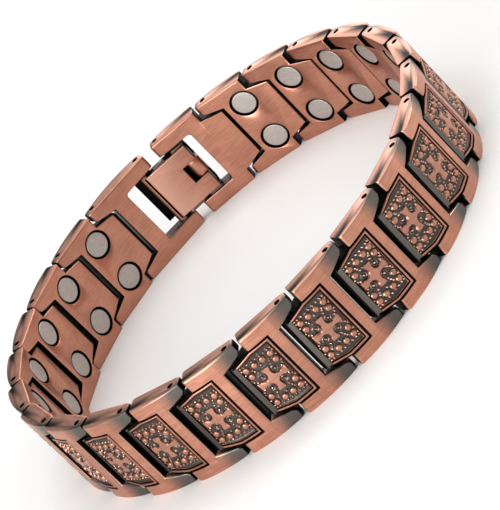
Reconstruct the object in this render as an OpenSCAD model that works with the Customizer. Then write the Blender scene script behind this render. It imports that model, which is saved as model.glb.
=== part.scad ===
// A link bracelet with two magnets in the inner face of each link and a fold-over clasp.
// It lies on one edge of its band, closed in a round loop: the loop's axis is Z, Z = 0 is the
// lower edge of the band, and the clasp is at +Y. Sizes are in millimetres.
//
// A link is drawn in its own frame: X runs from its ear pin to its tongue pin, Y points
// outward, away from the wrist, and Z is the same as the bracelet's. The line through the
// pins is Y = 0.

/* [Chain] */
// Distance between the two pins of an ordinary link
pitch = 9; // [8.6:0.1:9.6]
// Distance between the two pins of the end link on the clasp's hinge side
left_end_pitch = 9.45; // [9.2:0.05:10]
// Distance between the two pins of the end link on the clasp's hook side
right_end_pitch = 9.25; // [9:0.05:9.8]
// Width of the band, which is the height of the loop as it lies
band_w = 14.2; // [13.8:0.1:15]

/* [Link form] */
// How far the inner face lies inside the line through the pins
inner_depth = 1.3; // [1.2:0.05:1.5]
// How far the crest of the outer face lies outside that line
crest_h = 1.6; // [1.5:0.05:2]
// Radius of the arched outer face
arch_r = 17; // [15:1:30]
// Distance from an ordinary link's ear pin to the crest of its outer face
crest_x = 4.7; // [4:0.1:5.5]
// Gap between the turning end of a link and the next link
hinge_gap = 0.75; // [0.5:0.05:0.9]
// Width of an ear where it leaves the crossbar
ear_root_w = 2.5; // [2.2:0.1:2.8]
// Width of an ear at its tip
ear_tip_w = 1.65; // [1.4:0.05:2]
// Cut corner on the inner side of an ear's tip
ear_corner = 0.6; // [0.3:0.1:0.9]
// Gap between a tongue and the ears on each side of it
tongue_gap = 0.4; // [0.2:0.05:0.5]
// How far a tongue reaches past its pin
tongue_reach = 1.45; // [1.2:0.05:1.6]
// Length of the slanted outer face at the tongue's end
tongue_bevel = 0.65; // [0.4:0.05:0.8]
// Cut corner at a link's shoulders
shoulder_corner = 0.5; // [0.2:0.05:0.7]

/* [Pins] */
// Radius of the chain's pins and of the clasp's two bars
pin_r = 0.43; // [0.35:0.01:0.5]
// Gap between a pin and its bore
pin_gap = 0.05; // [0.03:0.01:0.1]
// How far the ends of the chain's pins lie inside the edges of the band
pin_recess = 0.35; // [0.1:0.05:0.6]

/* [Raised plate] */
// Distance from the ear pin to the plate's straight edge
plate_x = 3.85; // [3.6:0.05:4.1]
// Width of the groove round the plate
groove_w = 0.3; // [0.2:0.05:0.4]
// Depth of the groove
groove_depth = 0.35; // [0.2:0.05:0.45]
// Width of the plate's raised border
border_w = 0.35; // [0.25:0.05:0.45]
// Depth of the ground that the relief stands on
ground_depth = 0.3; // [0.2:0.05:0.35]
// Length of the cross along the band
cross_len = 4.6; // [4:0.1:4.8]
// Height of the cross across the band
cross_h = 3.9; // [3.4:0.1:4.1]
// Width of the cross's arms at their ends
arm_w = 1.2; // [1:0.05:1.4]
// Radius of the four round hollows that curve the cross's arms
hollow_r = 0.65; // [0.5:0.05:0.7]
// Distance from the cross's middle to the hollows, along the band
hollow_x = 1.09; // [1:0.01:1.2]
// Distance from the cross's middle to the hollows, across the band
hollow_z = 0.94; // [0.88:0.01:1.05]
// Radius of a large bead
bead_r = 0.42; // [0.34:0.02:0.46]
// Distance between the large beads in a row
bead_step = 1.31; // [1.2:0.01:1.34]
// Distance from the cross's middle to the outer rows of beads
outer_row = 3.08; // [3:0.02:3.3]
// Distance from the cross's middle to the inner rows of beads
inner_row = 1.95; // [1.9:0.01:2.05]

/* [Magnets] */
// Radius of a magnet
magnet_r = 1.88; // [1.6:0.02:1.95]
// Thickness of a magnet
magnet_t = 1; // [0.8:0.05:1.1]
// Gap round a magnet
magnet_side_gap = 0.2; // [0.1:0.02:0.22]
// Gap under a magnet, which the glue fills
magnet_glue_gap = 0.05; // [0.03:0.01:0.1]
// How far a magnet's face lies inside the link's face
magnet_recess = 0.15; // [0.05:0.05:0.2]
// Distance from the ear pin to a magnet
magnet_x = 5.05; // [4.8:0.05:5.2]
// Distance between the two magnets of a link
magnet_spacing = 7; // [6.6:0.1:7.4]

/* [End link slots] */
// Distance from an end link's bar to the closed end of its slot
slot_reach = 4.7; // [4.6:0.05:4.9]
// Width of a prong beside the slot
prong_w = 2.25; // [2.1:0.05:2.35]
// How far a prong reaches past its bar
prong_reach = 1.1; // [0.9:0.05:1.2]
// Radius of the slot's inner corners
slot_corner_r = 0.5; // [0.3:0.05:0.8]

/* [Clasp] */
// Distance between the clasp's two bars
bar_span = 3.96; // [3.9:0.02:4.2]
// Distance along the band from the hook bar to the lever's pin
lever_pin_x = 2.06; // [1.9:0.02:2.2]
// How far the lever's pin lies inside the line through the bars
lever_pin_in = 0.7; // [0.5:0.05:0.9]
// Radius of the lever's pin
lever_pin_r = 0.4; // [0.3:0.02:0.45]
// Radius of the blade's barrels round its two pins
barrel_r = 0.8; // [0.7:0.02:0.82]
// Distance from the pins' line to the blade's plate
blade_offset = 0.75; // [0.6:0.05:0.78]
// Thickness of the blade's plate
blade_t = 0.6; // [0.4:0.05:0.7]
// How far the blade's plate reaches past the hinge bar
blade_end = 0.65; // [0.5:0.05:0.75]
// Gap between each side of the blade and the lever's wall
blade_side_gap = 0.11; // [0.06:0.01:0.4]
// How far the ends of the blade's barrels lie inside the blade's sides
barrel_in = 0.9; // [0.85:0.05:1.3]
// Height of the blade's notch, which holds the lever's knuckle
notch_h = 3; // [2.6:0.1:3.4]
// Length of the blade's notch, from the lever's pin
notch_len = 1.85; // [1.7:0.05:2]
// Gap between each side of the lever's knuckle and the blade's notch
knuckle_side_gap = 0.15; // [0.1:0.01:0.4]
// Radius of the lever's knuckle
knuckle_r = 1; // [0.85:0.05:1.1]
// Gap between the lever's walls and the end links' prongs
lever_side_gap = 0.2; // [0.1:0.05:0.3]
// Thickness of the lever's side walls
lever_wall = 0.44; // [0.35:0.01:0.45]
// How far each edge of the lever's outer face lies inside its side wall
lever_lean = 0.95; // [0.65:0.05:1.1]
// How far inside the pins' line the lever's sloping sides start
lever_slope_in = 0.7; // [0.5:0.05:0.9]
// Radius of the lever's arched outer face
lever_arch_r = 30; // [24:1:60]
// Gap between the blade's barrels and the underside of the lever's outer plate
lever_under_gap = 0.06; // [0.04:0.01:0.15]
// Distance from the hinge bar to the inner face of the lever's end wall
end_wall_x = 1.06; // [1:0.02:1.2]
// Thickness of the lever's end wall
end_wall_t = 0.54; // [0.4:0.02:0.6]
// Length of the finger lip beyond the end wall
lip_len = 0.7; // [0.5:0.05:0.9]
// How far inside the pins' line the lever's end wall reaches
end_wall_in = 1.2; // [1.1:0.05:1.3]
// How far the lever's outer plate reaches past its pin
lever_tail = 0.55; // [0.4:0.05:0.65]
// Room round a bar on the side where the lever's notch is tight
seat_gap = 0.1; // [0.06:0.02:0.14]
// Width of the lever's notches on the side where the bar leaves
notch_side = 0.95; // [0.8:0.05:1.05]

/* [Hidden] */
$fn = 48;
ARCH_FN = 96;
LINK_COUNT = 22;
function two_digits(i) = i < 10 ? str("0", i) : str(i);
LINK_NODES = [for (i = [1:LINK_COUNT]) str("link_", two_digits(i))];
MAGNET_NODES = [for (i = [1:LINK_COUNT]) str("magnets_", two_digits(i))];
OTHER_NODES = ["left_end_link", "right_end_link", "link_pins", "clasp_hinge_bar",
    "clasp_hook_bar", "clasp_blade", "clasp_lever", "clasp_lever_pin"];

// The loop: a circle through all the pins, whose chords are the pin distances.
RADIUS_STEPS = 12;
function chord_angle(chord, r) = 2 * asin(chord / (2 * r));
function whole_turn(r) = chord_angle(left_end_pitch, r) + LINK_COUNT * chord_angle(pitch, r)
    + chord_angle(right_end_pitch, r) + chord_angle(bar_span, r);
function solve_radius(r, steps) =
    steps == 0 ? r : solve_radius(r * whole_turn(r) / 360, steps - 1);
chain_len = left_end_pitch + LINK_COUNT * pitch + right_end_pitch + bar_span;
ring_r = solve_radius(chain_len / (2 * PI), RADIUS_STEPS);
hinge_bar_angle = 90 + chord_angle(bar_span, ring_r) / 2;
hook_bar_angle = 450 - chord_angle(bar_span, ring_r) / 2;

// The angle of pin i of the chain, from 1 at the left end link to LINK_COUNT + 1
function pin_angle(i) = hinge_bar_angle + chord_angle(left_end_pitch, ring_r)
    + (i - 1) * chord_angle(pitch, ring_r);

// Ears, tongues and what follows from the gaps between them
ear_r = inner_depth;
root_x = ear_r + hinge_gap;
shoulder_x = pitch - root_x;
bore_r = pin_r + pin_gap;
half_w = band_w / 2;
// How far a cut runs past the face that it opens
past_face = 1;
// Longer than a link is thick, for cuts through both of its faces
through_len = 8 * crest_h;
// How far down its outer side a cut corner reaches, for each unit along the band
SHOULDER_SLOPE = 1.2;
BEVEL_SLOPE = 1.4;

// Half of the opening between two ears, at the distance s from their pin
function fork_half(s) = half_w - ear_tip_w
    - (ear_root_w - ear_tip_w) * (s + ear_r) / (root_x + ear_r);
// Half of the tongue in that opening, s being positive towards the tongue's end
function tongue_half(s) = fork_half(s) - tongue_gap;
// Height of an arched outer face at x, where its crest is at crest
function arch_y(x, crest) = crest_h - arch_r + sqrt(arch_r * arch_r - (x - crest) * (x - crest));

// The raised plate
plate_end = pitch + tongue_reach - tongue_bevel;
plate_half = tongue_half(-root_x) - groove_w;
plate_end_half = tongue_half(plate_end - pitch) - groove_w;
end_border_w = border_w / 2;
cross_x = shoulder_x;
bead_sink = bead_r - ground_depth;

// The clasp, in the frame of its hinge bar: X runs to the hook bar
lever_pin = [bar_span + lever_pin_x, -lever_pin_in];
blade_len = norm(lever_pin);
blade_tilt = atan(lever_pin_in / lever_pin[0]);
barrel_bore_r = lever_pin_r + pin_gap;
lever_half = half_w - prong_w - lever_side_gap;
lever_face_h = 2 * (lever_half - lever_lean);
lever_under = barrel_r + lever_under_gap;
blade_h = 2 * (lever_half - lever_wall - blade_side_gap);
barrel_h = blade_h - 2 * barrel_in;
knuckle_h = notch_h - 2 * knuckle_side_gap;
lever_left = -end_wall_x - end_wall_t - lip_len;
lever_right = lever_pin[0] + lever_tail;
lever_mid = (lever_left + lever_right) / 2;

// Placing

// Puts a link between its ear pin and its tongue pin, given by their angles on the loop
module between_pins(ear_angle, tongue_angle) {
    translate([ring_r * cos(ear_angle), ring_r * sin(ear_angle), 0])
        rotate([0, 0, (ear_angle + tongue_angle) / 2 - 90])
            children();
}

// Puts a part of the clasp at its hinge bar, with the line through both bars along X
module at_clasp() {
    translate([ring_r * cos(hinge_bar_angle), ring_r * sin(hinge_bar_angle), 0])
        children();
}

// Runs a flat shape, drawn in X and Z, through the whole thickness of a link
module through_faces() {
    translate([0, 0, half_w])
        rotate([90, 0, 0])
            linear_extrude(height = through_len, center = true)
                children();
}

// Runs a flat shape, drawn in X and Y, across the band over the height h at its middle
module across_band(h) {
    translate([0, 0, half_w - h / 2])
        linear_extrude(height = h)
            children();
}

// A bore or a pin across the band at x, y
module rod(r, x, y, low, high) {
    translate([x, y, low])
        cylinder(r = r, h = high - low);
}

// Link shapes

// The disc whose edge is the arched outer face
module arch(crest) {
    translate([crest, crest_h - arch_r])
        circle(r = arch_r, $fn = ARCH_FN);
}

// Side view of a link's full-width body, from its ears to its shoulders at end_x
module body_side(end_x, crest) {
    intersection() {
        union() {
            circle(r = ear_r);
            polygon([
                [0, -inner_depth],
                [end_x - shoulder_corner, -inner_depth],
                [end_x, -inner_depth + shoulder_corner],
                [end_x, crest_h - SHOULDER_SLOPE * shoulder_corner],
                [end_x - shoulder_corner, crest_h],
                [0, crest_h]
            ]);
        }
        arch(crest);
    }
}

// Side view of a tongue round the pin at x
module tongue_side(x, crest) {
    end_x = x + tongue_reach;
    bevel_y = arch_y(end_x - tongue_bevel, crest);
    intersection() {
        polygon([
            [x - root_x - 2 * shoulder_corner, -inner_depth],
            [end_x - tongue_bevel, -inner_depth],
            [end_x, -inner_depth + tongue_bevel],
            [end_x, bevel_y - BEVEL_SLOPE * tongue_bevel],
            [end_x - tongue_bevel, bevel_y],
            [end_x - tongue_bevel, crest_h],
            [x - root_x - 2 * shoulder_corner, crest_h]
        ]);
        arch(crest);
    }
}

// Front view of a tongue round the pin at x: it narrows to its end
module tongue_front(x) {
    corner = tongue_bevel / 2;
    start = -root_x - 2 * shoulder_corner;
    polygon([for (side = [1, -1]) for (p = side > 0
        ? [[start, tongue_half(-root_x)], [-root_x, tongue_half(-root_x)],
            [tongue_reach - corner, tongue_half(tongue_reach - corner)],
            [tongue_reach, tongue_half(tongue_reach) - corner]]
        : [[tongue_reach, tongue_half(tongue_reach) - corner],
            [tongue_reach - corner, tongue_half(tongue_reach - corner)],
            [-root_x, tongue_half(-root_x)], [start, tongue_half(-root_x)]])
        [x + p[0], side * p[1]]]);
}

// Front view of the opening between two ears
module fork_front() {
    tip = -ear_r + ear_corner;
    open = -ear_r - past_face;
    polygon([
        [root_x, fork_half(root_x)],
        [tip, fork_half(tip)],
        [open, fork_half(tip) + ear_corner + past_face],
        [open, -fork_half(tip) - ear_corner - past_face],
        [tip, -fork_half(tip)],
        [root_x, -fork_half(root_x)]
    ]);
}

// Front view of an end link's slot, whose closed end is at x and which opens towards -X
module slot_front(x) {
    half = half_w - prong_w;
    open = -slot_reach;
    translate([open, -half])
        square([x - slot_corner_r - open, 2 * half]);
    translate([open, -half + slot_corner_r])
        square([x - open, 2 * (half - slot_corner_r)]);
    for (side = [1, -1])
        translate([x - slot_corner_r, side * (half - slot_corner_r)])
            circle(r = slot_corner_r);
}

// Side view of the layer of a link that lies within depth of its outer face
module outer_layer(depth) {
    difference() {
        translate([crest_x, crest_h - arch_r])
            circle(r = arch_r + past_face, $fn = ARCH_FN);
        translate([crest_x, crest_h - arch_r])
            circle(r = arch_r - depth, $fn = ARCH_FN);
    }
}

// Front view of the raised plate, moved in by inset at its sides and by end_inset at its end
module plate_front(inset, end_inset) {
    polygon([
        [plate_x + inset, plate_half - inset],
        [shoulder_x, plate_half - inset],
        [plate_end - end_inset, plate_end_half - inset],
        [plate_end - end_inset, -plate_end_half + inset],
        [shoulder_x, -plate_half + inset],
        [plate_x + inset, -plate_half + inset]
    ]);
}

// Front view of the groove's outer side: the plate's strip between crossbar and shoulders,
// and the whole width of the tongue
module groove_front() {
    start = plate_x - groove_w;
    wide = tongue_half(-root_x);
    end_x = pitch + tongue_reach;
    polygon([
        [start, wide],
        [shoulder_x, wide],
        [end_x + past_face, wide],
        [end_x + past_face, -wide],
        [shoulder_x, -wide],
        [start, -wide]
    ]);
}

// The material taken away round the plate and inside its border
module plate_cuts() {
    intersection() {
        across_band(band_w)
            outer_layer(groove_depth);
        through_faces()
            difference() {
                groove_front();
                plate_front(0, 0);
                translate([plate_end, -half_w])
                    square([tongue_reach + past_face, band_w]);
            }
    }
    intersection() {
        across_band(band_w)
            outer_layer(ground_depth);
        through_faces()
            plate_front(border_w, end_border_w);
    }
}

// Front view of the cross: two bars whose inner corners are cut by four round hollows
module cross_front() {
    translate([cross_x, 0])
        difference() {
            union() {
                square([cross_len, arm_w], center = true);
                square([arm_w, cross_h], center = true);
            }
            for (sx = [1, -1], sz = [1, -1])
                translate([sx * hollow_x, sz * hollow_z])
                    circle(r = hollow_r);
        }
}

// One large bead: a ball whose top is as high as the plate's border
module bead(x, z) {
    translate([x, arch_y(x, crest_x) - ground_depth - bead_sink, half_w + z])
        sphere(r = bead_r);
}

// The relief inside the plate's border
module relief() {
    intersection() {
        across_band(band_w)
            difference() {
                arch(crest_x);
                translate([crest_x, crest_h - arch_r])
                    circle(r = arch_r - 2 * ground_depth, $fn = ARCH_FN);
            }
        through_faces()
            cross_front();
    }
    for (side = [1, -1]) {
        for (column = [-1.5:1:1.5])
            bead(cross_x + column * bead_step, side * outer_row);
        for (column = [-1.5, 1.5])
            bead(cross_x + column * bead_step, side * inner_row);
    }
}

// The two blind pockets for a link's magnets
module magnet_pockets() {
    depth = magnet_recess + magnet_t + magnet_glue_gap;
    for (side = [1, -1])
        translate([magnet_x, -inner_depth + depth, half_w + side * magnet_spacing / 2])
            rotate([90, 0, 0])
                cylinder(r = magnet_r + magnet_side_gap, h = depth + past_face);
}

// An ordinary link in its own frame
module link() {
    difference() {
        union() {
            difference() {
                union() {
                    across_band(band_w)
                        body_side(shoulder_x, crest_x);
                    intersection() {
                        across_band(band_w)
                            tongue_side(pitch, crest_x);
                        through_faces()
                            tongue_front(pitch);
                    }
                }
                plate_cuts();
            }
            relief();
        }
        through_faces()
            fork_front();
        magnet_pockets();
        rod(bore_r, 0, 0, -past_face, band_w + past_face);
        rod(bore_r, pitch, 0, -past_face, band_w + past_face);
    }
}

// The end link on the clasp's hinge side: ears at X = 0, prongs round the hinge bar
module left_end_shape() {
    mid = left_end_pitch / 2;
    tip_x = left_end_pitch + prong_reach - ear_r;
    difference() {
        across_band(band_w)
            intersection() {
                union() {
                    circle(r = ear_r);
                    translate([0, -inner_depth])
                        square([tip_x, inner_depth + crest_h]);
                    translate([tip_x, 0])
                        circle(r = ear_r);
                }
                arch(mid);
            }
        through_faces()
            fork_front();
        translate([left_end_pitch, 0, 0])
            mirror([1, 0, 0])
                through_faces()
                    slot_front(slot_reach);
        rod(bore_r, 0, 0, -past_face, band_w + past_face);
        rod(bore_r, left_end_pitch, 0, -past_face, band_w + past_face);
    }
}

// The end link on the clasp's hook side: prongs round the hook bar at X = 0, and a tongue
module right_end_shape() {
    end_shoulder = right_end_pitch - root_x;
    tip_x = ear_r - prong_reach;
    difference() {
        union() {
            across_band(band_w)
                intersection() {
                    union() {
                        translate([tip_x, 0])
                            circle(r = ear_r);
                        translate([tip_x, 0])
                            body_side(end_shoulder - tip_x, crest_x - tip_x);
                    }
                    arch(crest_x);
                }
            intersection() {
                across_band(band_w)
                    tongue_side(right_end_pitch, crest_x);
                through_faces()
                    tongue_front(right_end_pitch);
            }
        }
        through_faces()
            slot_front(slot_reach);
        rod(bore_r, 0, 0, -past_face, band_w + past_face);
        rod(bore_r, right_end_pitch, 0, -past_face, band_w + past_face);
    }
}

// Clasp shapes, in the frame of the hinge bar

// Side view of one barrel of the blade, joined to its plate
module barrel_side(x) {
    translate([x, 0])
        circle(r = barrel_r);
    translate([x - blade_end, -blade_offset])
        square([2 * blade_end, blade_offset]);
}

// The blade: a plate on the inner side, with a barrel at each end and a notch
module blade_shape() {
    rotate([0, 0, -blade_tilt])
        difference() {
            union() {
                across_band(blade_h)
                    translate([-blade_end, -blade_offset - blade_t])
                        square([blade_len + 2 * blade_end, blade_t]);
                across_band(barrel_h) {
                    barrel_side(0);
                    barrel_side(blade_len);
                }
            }
            across_band(notch_h)
                translate([blade_len - notch_len, -through_len / 2])
                    square([notch_len + barrel_r + past_face, through_len]);
            rod(bore_r, 0, 0, 0, band_w);
            rod(barrel_bore_r, blade_len, 0, 0, band_w);
        }
}

// Side view of the lever: outer plate, lip, end wall and side walls in one outline
module lever_side() {
    end_wall_left = -end_wall_x - end_wall_t;
    intersection() {
        union() {
            polygon([
                [lever_left, lever_under],
                [end_wall_left, lever_under],
                [end_wall_left, -end_wall_in],
                [lever_pin[0], lever_pin[1] - knuckle_r],
                [lever_pin[0] + knuckle_r, lever_pin[1]],
                [lever_right, lever_under],
                [lever_right, crest_h],
                [lever_left, crest_h]
            ]);
            translate(lever_pin)
                circle(r = knuckle_r);
        }
        translate([lever_mid, crest_h - lever_arch_r])
            circle(r = lever_arch_r, $fn = ARCH_FN);
    }
}

// Section across the lever, in Y and Z, moved in by inset and cut off at top
module lever_section(inset, top) {
    slope = (lever_half - lever_face_h / 2) / (crest_h + lever_slope_in);
    half_top = lever_half - slope * (top + lever_slope_in);
    polygon([
        [-2 * knuckle_r - lever_slope_in, lever_half - inset],
        [-lever_slope_in, lever_half - inset],
        [top, half_top - inset],
        [top, -half_top + inset],
        [-lever_slope_in, -lever_half + inset],
        [-2 * knuckle_r - lever_slope_in, -lever_half + inset]
    ]);
}

// Runs that section along X from x to x + length
module along_band(x, length) {
    translate([x, 0, half_w])
        rotate([90, 0, 90])
            linear_extrude(height = length)
                children();
}

// Side view of the lever's notch over the bar at x: tight on the side tight, wide on the
// other, where the bar leaves it
module notch_side_view(x, tight) {
    reach = 2 * (lever_pin_in + knuckle_r);
    close = pin_r + seat_gap;
    translate([x, 0])
        circle(r = close);
    translate([tight > 0 ? x - notch_side : x - close, -reach])
        square([notch_side + close, reach]);
}

// The lever: an open channel over the blade, with notches over both bars, a knuckle on its
// pin and a lip for a finger
module lever_shape() {
    length = lever_right + 2 * knuckle_r - lever_left;
    difference() {
        union() {
            difference() {
                intersection() {
                    across_band(band_w)
                        lever_side();
                    along_band(lever_left, length)
                        lever_section(0, crest_h);
                }
                along_band(-end_wall_x, length)
                    lever_section(lever_wall, lever_under);
            }
            across_band(knuckle_h)
                translate(lever_pin) {
                    circle(r = knuckle_r);
                    polygon([
                        [0, 0],
                        [knuckle_r, 0],
                        [lever_tail, lever_under - lever_pin[1]],
                        [0, lever_under - lever_pin[1]]
                    ]);
                }
        }
        across_band(band_w) {
            notch_side_view(0, -1);
            notch_side_view(bar_span, 1);
        }
        rod(barrel_bore_r, lever_pin[0], lever_pin[1], 0, band_w);
    }
}

// Nodes

// Ordinary link number i, from 1 on the clasp's hinge side
module numbered_link(i) {
    color("peru")
        between_pins(pin_angle(i + 1), pin_angle(i))
            link();
}

// The two magnets of ordinary link number i
module numbered_magnets(i) {
    color("silver")
        between_pins(pin_angle(i + 1), pin_angle(i))
            for (side = [1, -1])
                translate([magnet_x, -inner_depth + magnet_recess + magnet_t,
                    half_w + side * magnet_spacing / 2])
                    rotate([90, 0, 0])
                        cylinder(r = magnet_r, h = magnet_t);
}

module left_end_link() {
    color("sandybrown")
        between_pins(pin_angle(1), hinge_bar_angle)
            left_end_shape();
}

module right_end_link() {
    color("sandybrown")
        between_pins(hook_bar_angle, pin_angle(LINK_COUNT + 1))
            right_end_shape();
}

// All the chain's pins, each loose in its bores
module link_pins() {
    color("saddlebrown")
        for (i = [1:LINK_COUNT + 1])
            rod(pin_r, ring_r * cos(pin_angle(i)), ring_r * sin(pin_angle(i)),
                pin_recess, band_w - pin_recess);
}

module clasp_hinge_bar() {
    color("saddlebrown")
        at_clasp()
            rod(pin_r, 0, 0, pin_recess, band_w - pin_recess);
}

module clasp_hook_bar() {
    color("chocolate")
        at_clasp()
            rod(pin_r, bar_span, 0, pin_gap, band_w - pin_gap);
}

module clasp_blade() {
    color("burlywood")
        at_clasp()
            blade_shape();
}

module clasp_lever() {
    color("sienna")
        at_clasp()
            lever_shape();
}

module clasp_lever_pin() {
    color("dimgray")
        at_clasp()
            rod(lever_pin_r, lever_pin[0], lever_pin[1],
                half_w - lever_half + pin_gap, half_w + lever_half - pin_gap);
}

for (i = [1:LINK_COUNT]) {
    numbered_link(i);
    numbered_magnets(i);
}
left_end_link();
right_end_link();
link_pins();
clasp_hinge_bar();
clasp_hook_bar();
clasp_blade();
clasp_lever();
clasp_lever_pin();
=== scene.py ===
"""Looks of a copper link bracelet with magnets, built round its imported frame.

Every shape is worked out with numpy in a link's own frame and then laid on the loop. In a link's
frame X runs from its ear pin to its tongue pin, Y points outward, away from the wrist, and Z runs
across the band. The line through the pins is Y = 0, and the lower edge of the band is Z = 0.
Lengths in the dataclasses are millimetres. Blender gets metres.
"""

from __future__ import annotations

import logging
import math
from collections.abc import Iterator, Sequence
from contextlib import contextmanager
from dataclasses import dataclass, field
from enum import Enum

import bmesh
import bpy
import numpy as np
from mathutils import Matrix, Vector

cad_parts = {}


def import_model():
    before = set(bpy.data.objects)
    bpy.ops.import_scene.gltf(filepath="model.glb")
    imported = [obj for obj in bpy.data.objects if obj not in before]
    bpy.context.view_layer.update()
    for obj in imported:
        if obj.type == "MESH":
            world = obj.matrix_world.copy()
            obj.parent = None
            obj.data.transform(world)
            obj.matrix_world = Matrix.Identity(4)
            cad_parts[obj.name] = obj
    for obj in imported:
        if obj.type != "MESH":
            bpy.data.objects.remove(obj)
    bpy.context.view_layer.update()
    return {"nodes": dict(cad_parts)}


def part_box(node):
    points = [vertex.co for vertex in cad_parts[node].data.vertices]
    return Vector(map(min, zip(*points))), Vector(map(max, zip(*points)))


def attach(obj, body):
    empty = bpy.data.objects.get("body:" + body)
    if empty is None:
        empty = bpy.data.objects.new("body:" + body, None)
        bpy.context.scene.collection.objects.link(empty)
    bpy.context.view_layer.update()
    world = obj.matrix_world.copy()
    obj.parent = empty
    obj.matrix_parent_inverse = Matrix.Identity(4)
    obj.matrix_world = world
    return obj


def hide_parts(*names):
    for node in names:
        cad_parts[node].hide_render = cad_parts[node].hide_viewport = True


LOG = logging.getLogger("bracelet")

Pair = tuple[float, float]
Triple = tuple[float, float, float]

# One millimetre in metres.
MM = 0.001
# Points of a new surface and of a CAD copy that lie closer than this are merged.
MERGE_MM = 2e-4
CAD_MERGE_MM = 0.002
# Half the least thickness of a slab's rounded edge.
LEAST_MM = 0.003
# A point this close to an edge of the outline lies on the wall below it.
WALL_MM = 0.012
# Slack for telling on which side of a line a point lies: near an edge, and on a grid line.
SLACK_MM = 0.02
LINE_MM = 0.001
# Faces are joined where they bend less than the flat angle, one for new surfaces and one for
# CAD copies. Edges are sharp where they bend more than the sharp angle.
FLAT_ANGLE = math.radians(0.06)
CAD_FLAT_ANGLE = math.radians(1.0)
SHARP_ANGLE = math.radians(38)
# Depth of the brush marks, in metres.
BUMP_M = 0.00003
# How often the loop's radius is scaled until its chords close.
SCALING_ROUNDS = 12
# How far a bore's cutter stands out of the band.
BEYOND_MM = 1.0
# Steps of one turn: pockets and magnets, bores, and rods.
ROUND_STEPS = 56
BORE_STEPS = 28
ROD_STEPS = 24


class Body(Enum):
    """The bodies that pieces ride on."""

    CHAIN = "chain"
    BLADE = "blade"
    LEVER = "lever"


class Slot(Enum):
    """The record's material slots."""

    LINK = "link_metal"
    END_LINK = "end_link_metal"
    MAGNET = "magnet"
    PIN = "pin_metal"
    CLASP = "clasp_metal"


@dataclass(frozen=True)
class ChainSizes:
    """Sizes that all the links share, in millimetres."""

    link_count: int = 22
    pitch: float = 9.0
    left_end_pitch: float = 9.45
    right_end_pitch: float = 9.25
    bar_span: float = 3.96
    band_w: float = 14.2
    inner_depth: float = 1.3
    crest_h: float = 1.6
    arch_r: float = 17.0
    crest_x: float = 4.7
    root_x: float = 2.05
    ear_root_w: float = 2.5
    ear_tip_w: float = 1.65
    ear_reach: float = 1.5
    ear_corner: float = 0.6
    ear_round: float = 0.3
    tongue_gap: float = 0.4
    tongue_reach: float = 1.65
    tongue_bevel: float = 0.85
    tongue_slope: float = 0.2
    tongue_corner: float = 0.3
    tongue_edge_r: float = 0.25
    tongue_under_r: float = 0.55
    under_share: float = 0.9
    seam_w: float = 0.16
    shoulder_corner: float = 0.35
    shoulder_drop: float = 1.15
    bore_r: float = 0.48
    bore_rim: float = 0.12
    pin_r: float = 0.43
    edge_r: float = 0.2
    prong_w: float = 2.25
    prong_reach: float = 1.1
    prong_corner: float = 0.45
    slot_reach: float = 4.7
    slot_corner_r: float = 0.5

    @property
    def half_w(self) -> float:
        """Half the width of the band."""
        return self.band_w / 2

    @property
    def shoulder_x(self) -> float:
        """Where an ordinary link's shoulders end."""
        return self.pitch - self.root_x

    def fork_half(self, s: np.ndarray | float) -> np.ndarray | float:
        """Half of the opening between two ears, at the distance s from their pin.

        Args:
            s: distance from the pin towards the root.

        Returns:
            The half width.
        """
        reach = self.root_x + self.inner_depth
        spread = (self.ear_root_w - self.ear_tip_w) * (s + self.inner_depth) / reach
        return self.half_w - self.ear_tip_w - spread

    def tongue_half(self, s: np.ndarray | float) -> np.ndarray | float:
        """Half of a tongue, at the distance s past its pin."""
        return self.fork_half(s) - self.tongue_gap

    def tongue_side(self, x: np.ndarray, pitch: float) -> np.ndarray:
        """Half of a tongue at x, with the rounded corners of its end."""
        half = self.tongue_half(np.maximum(x - pitch, -self.root_x))
        return half - corner_cut(pitch + self.tongue_reach - x, self.tongue_corner)

    def tip_round(self, past: np.ndarray, reach: float) -> np.ndarray:
        """Half the height of an ear's or a prong's tip, at the distance past where it starts.

        It is inner_depth (1 - (past / reach)^4)^(1/4): a flat end with rounded corners.
        """
        share = np.clip(np.abs(past) / reach, 0, 1)
        return self.inner_depth * (1 - share**4) ** 0.25

    def tongue_drops(self, end: np.ndarray) -> tuple[np.ndarray, np.ndarray]:
        """How far a tongue's outer and inner face draw back, at the distance end from its end.

        The outer face is rounded by tongue_edge_r and slopes down over tongue_bevel. The inner
        face is rounded by tongue_under_r.

        Args:
            end: distance from the tongue's end.

        Returns:
            Both drops.
        """
        slope = self.tongue_slope * np.maximum(self.tongue_bevel - end, 0)
        outer = rounding([end], self.tongue_edge_r) + slope
        return outer, rounding([end], self.tongue_under_r)

    def in_bore(self, points: np.ndarray, pitch: float) -> np.ndarray:
        """Which points lie on the wall of a pin's bore, inside the rim.

        Args:
            points: points in the piece's frame.
            pitch: distance between the piece's pins.

        Returns:
            True for each such point.
        """
        x, y, z = points.T
        from_pin = np.minimum(np.hypot(x, y), np.hypot(x - pitch, y))
        rim = self.half_w - np.abs(z - self.half_w)
        return (from_pin < self.bore_r + WALL_MM) & (rim > self.bore_rim - SLACK_MM)

    def arch(self, x: np.ndarray, crest: float) -> np.ndarray:
        """Height of the arched outer face: a circle of arch_r whose top is crest_h at crest."""
        return self.crest_h - self.arch_r + np.sqrt(self.arch_r**2 - (x - crest) ** 2)


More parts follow.
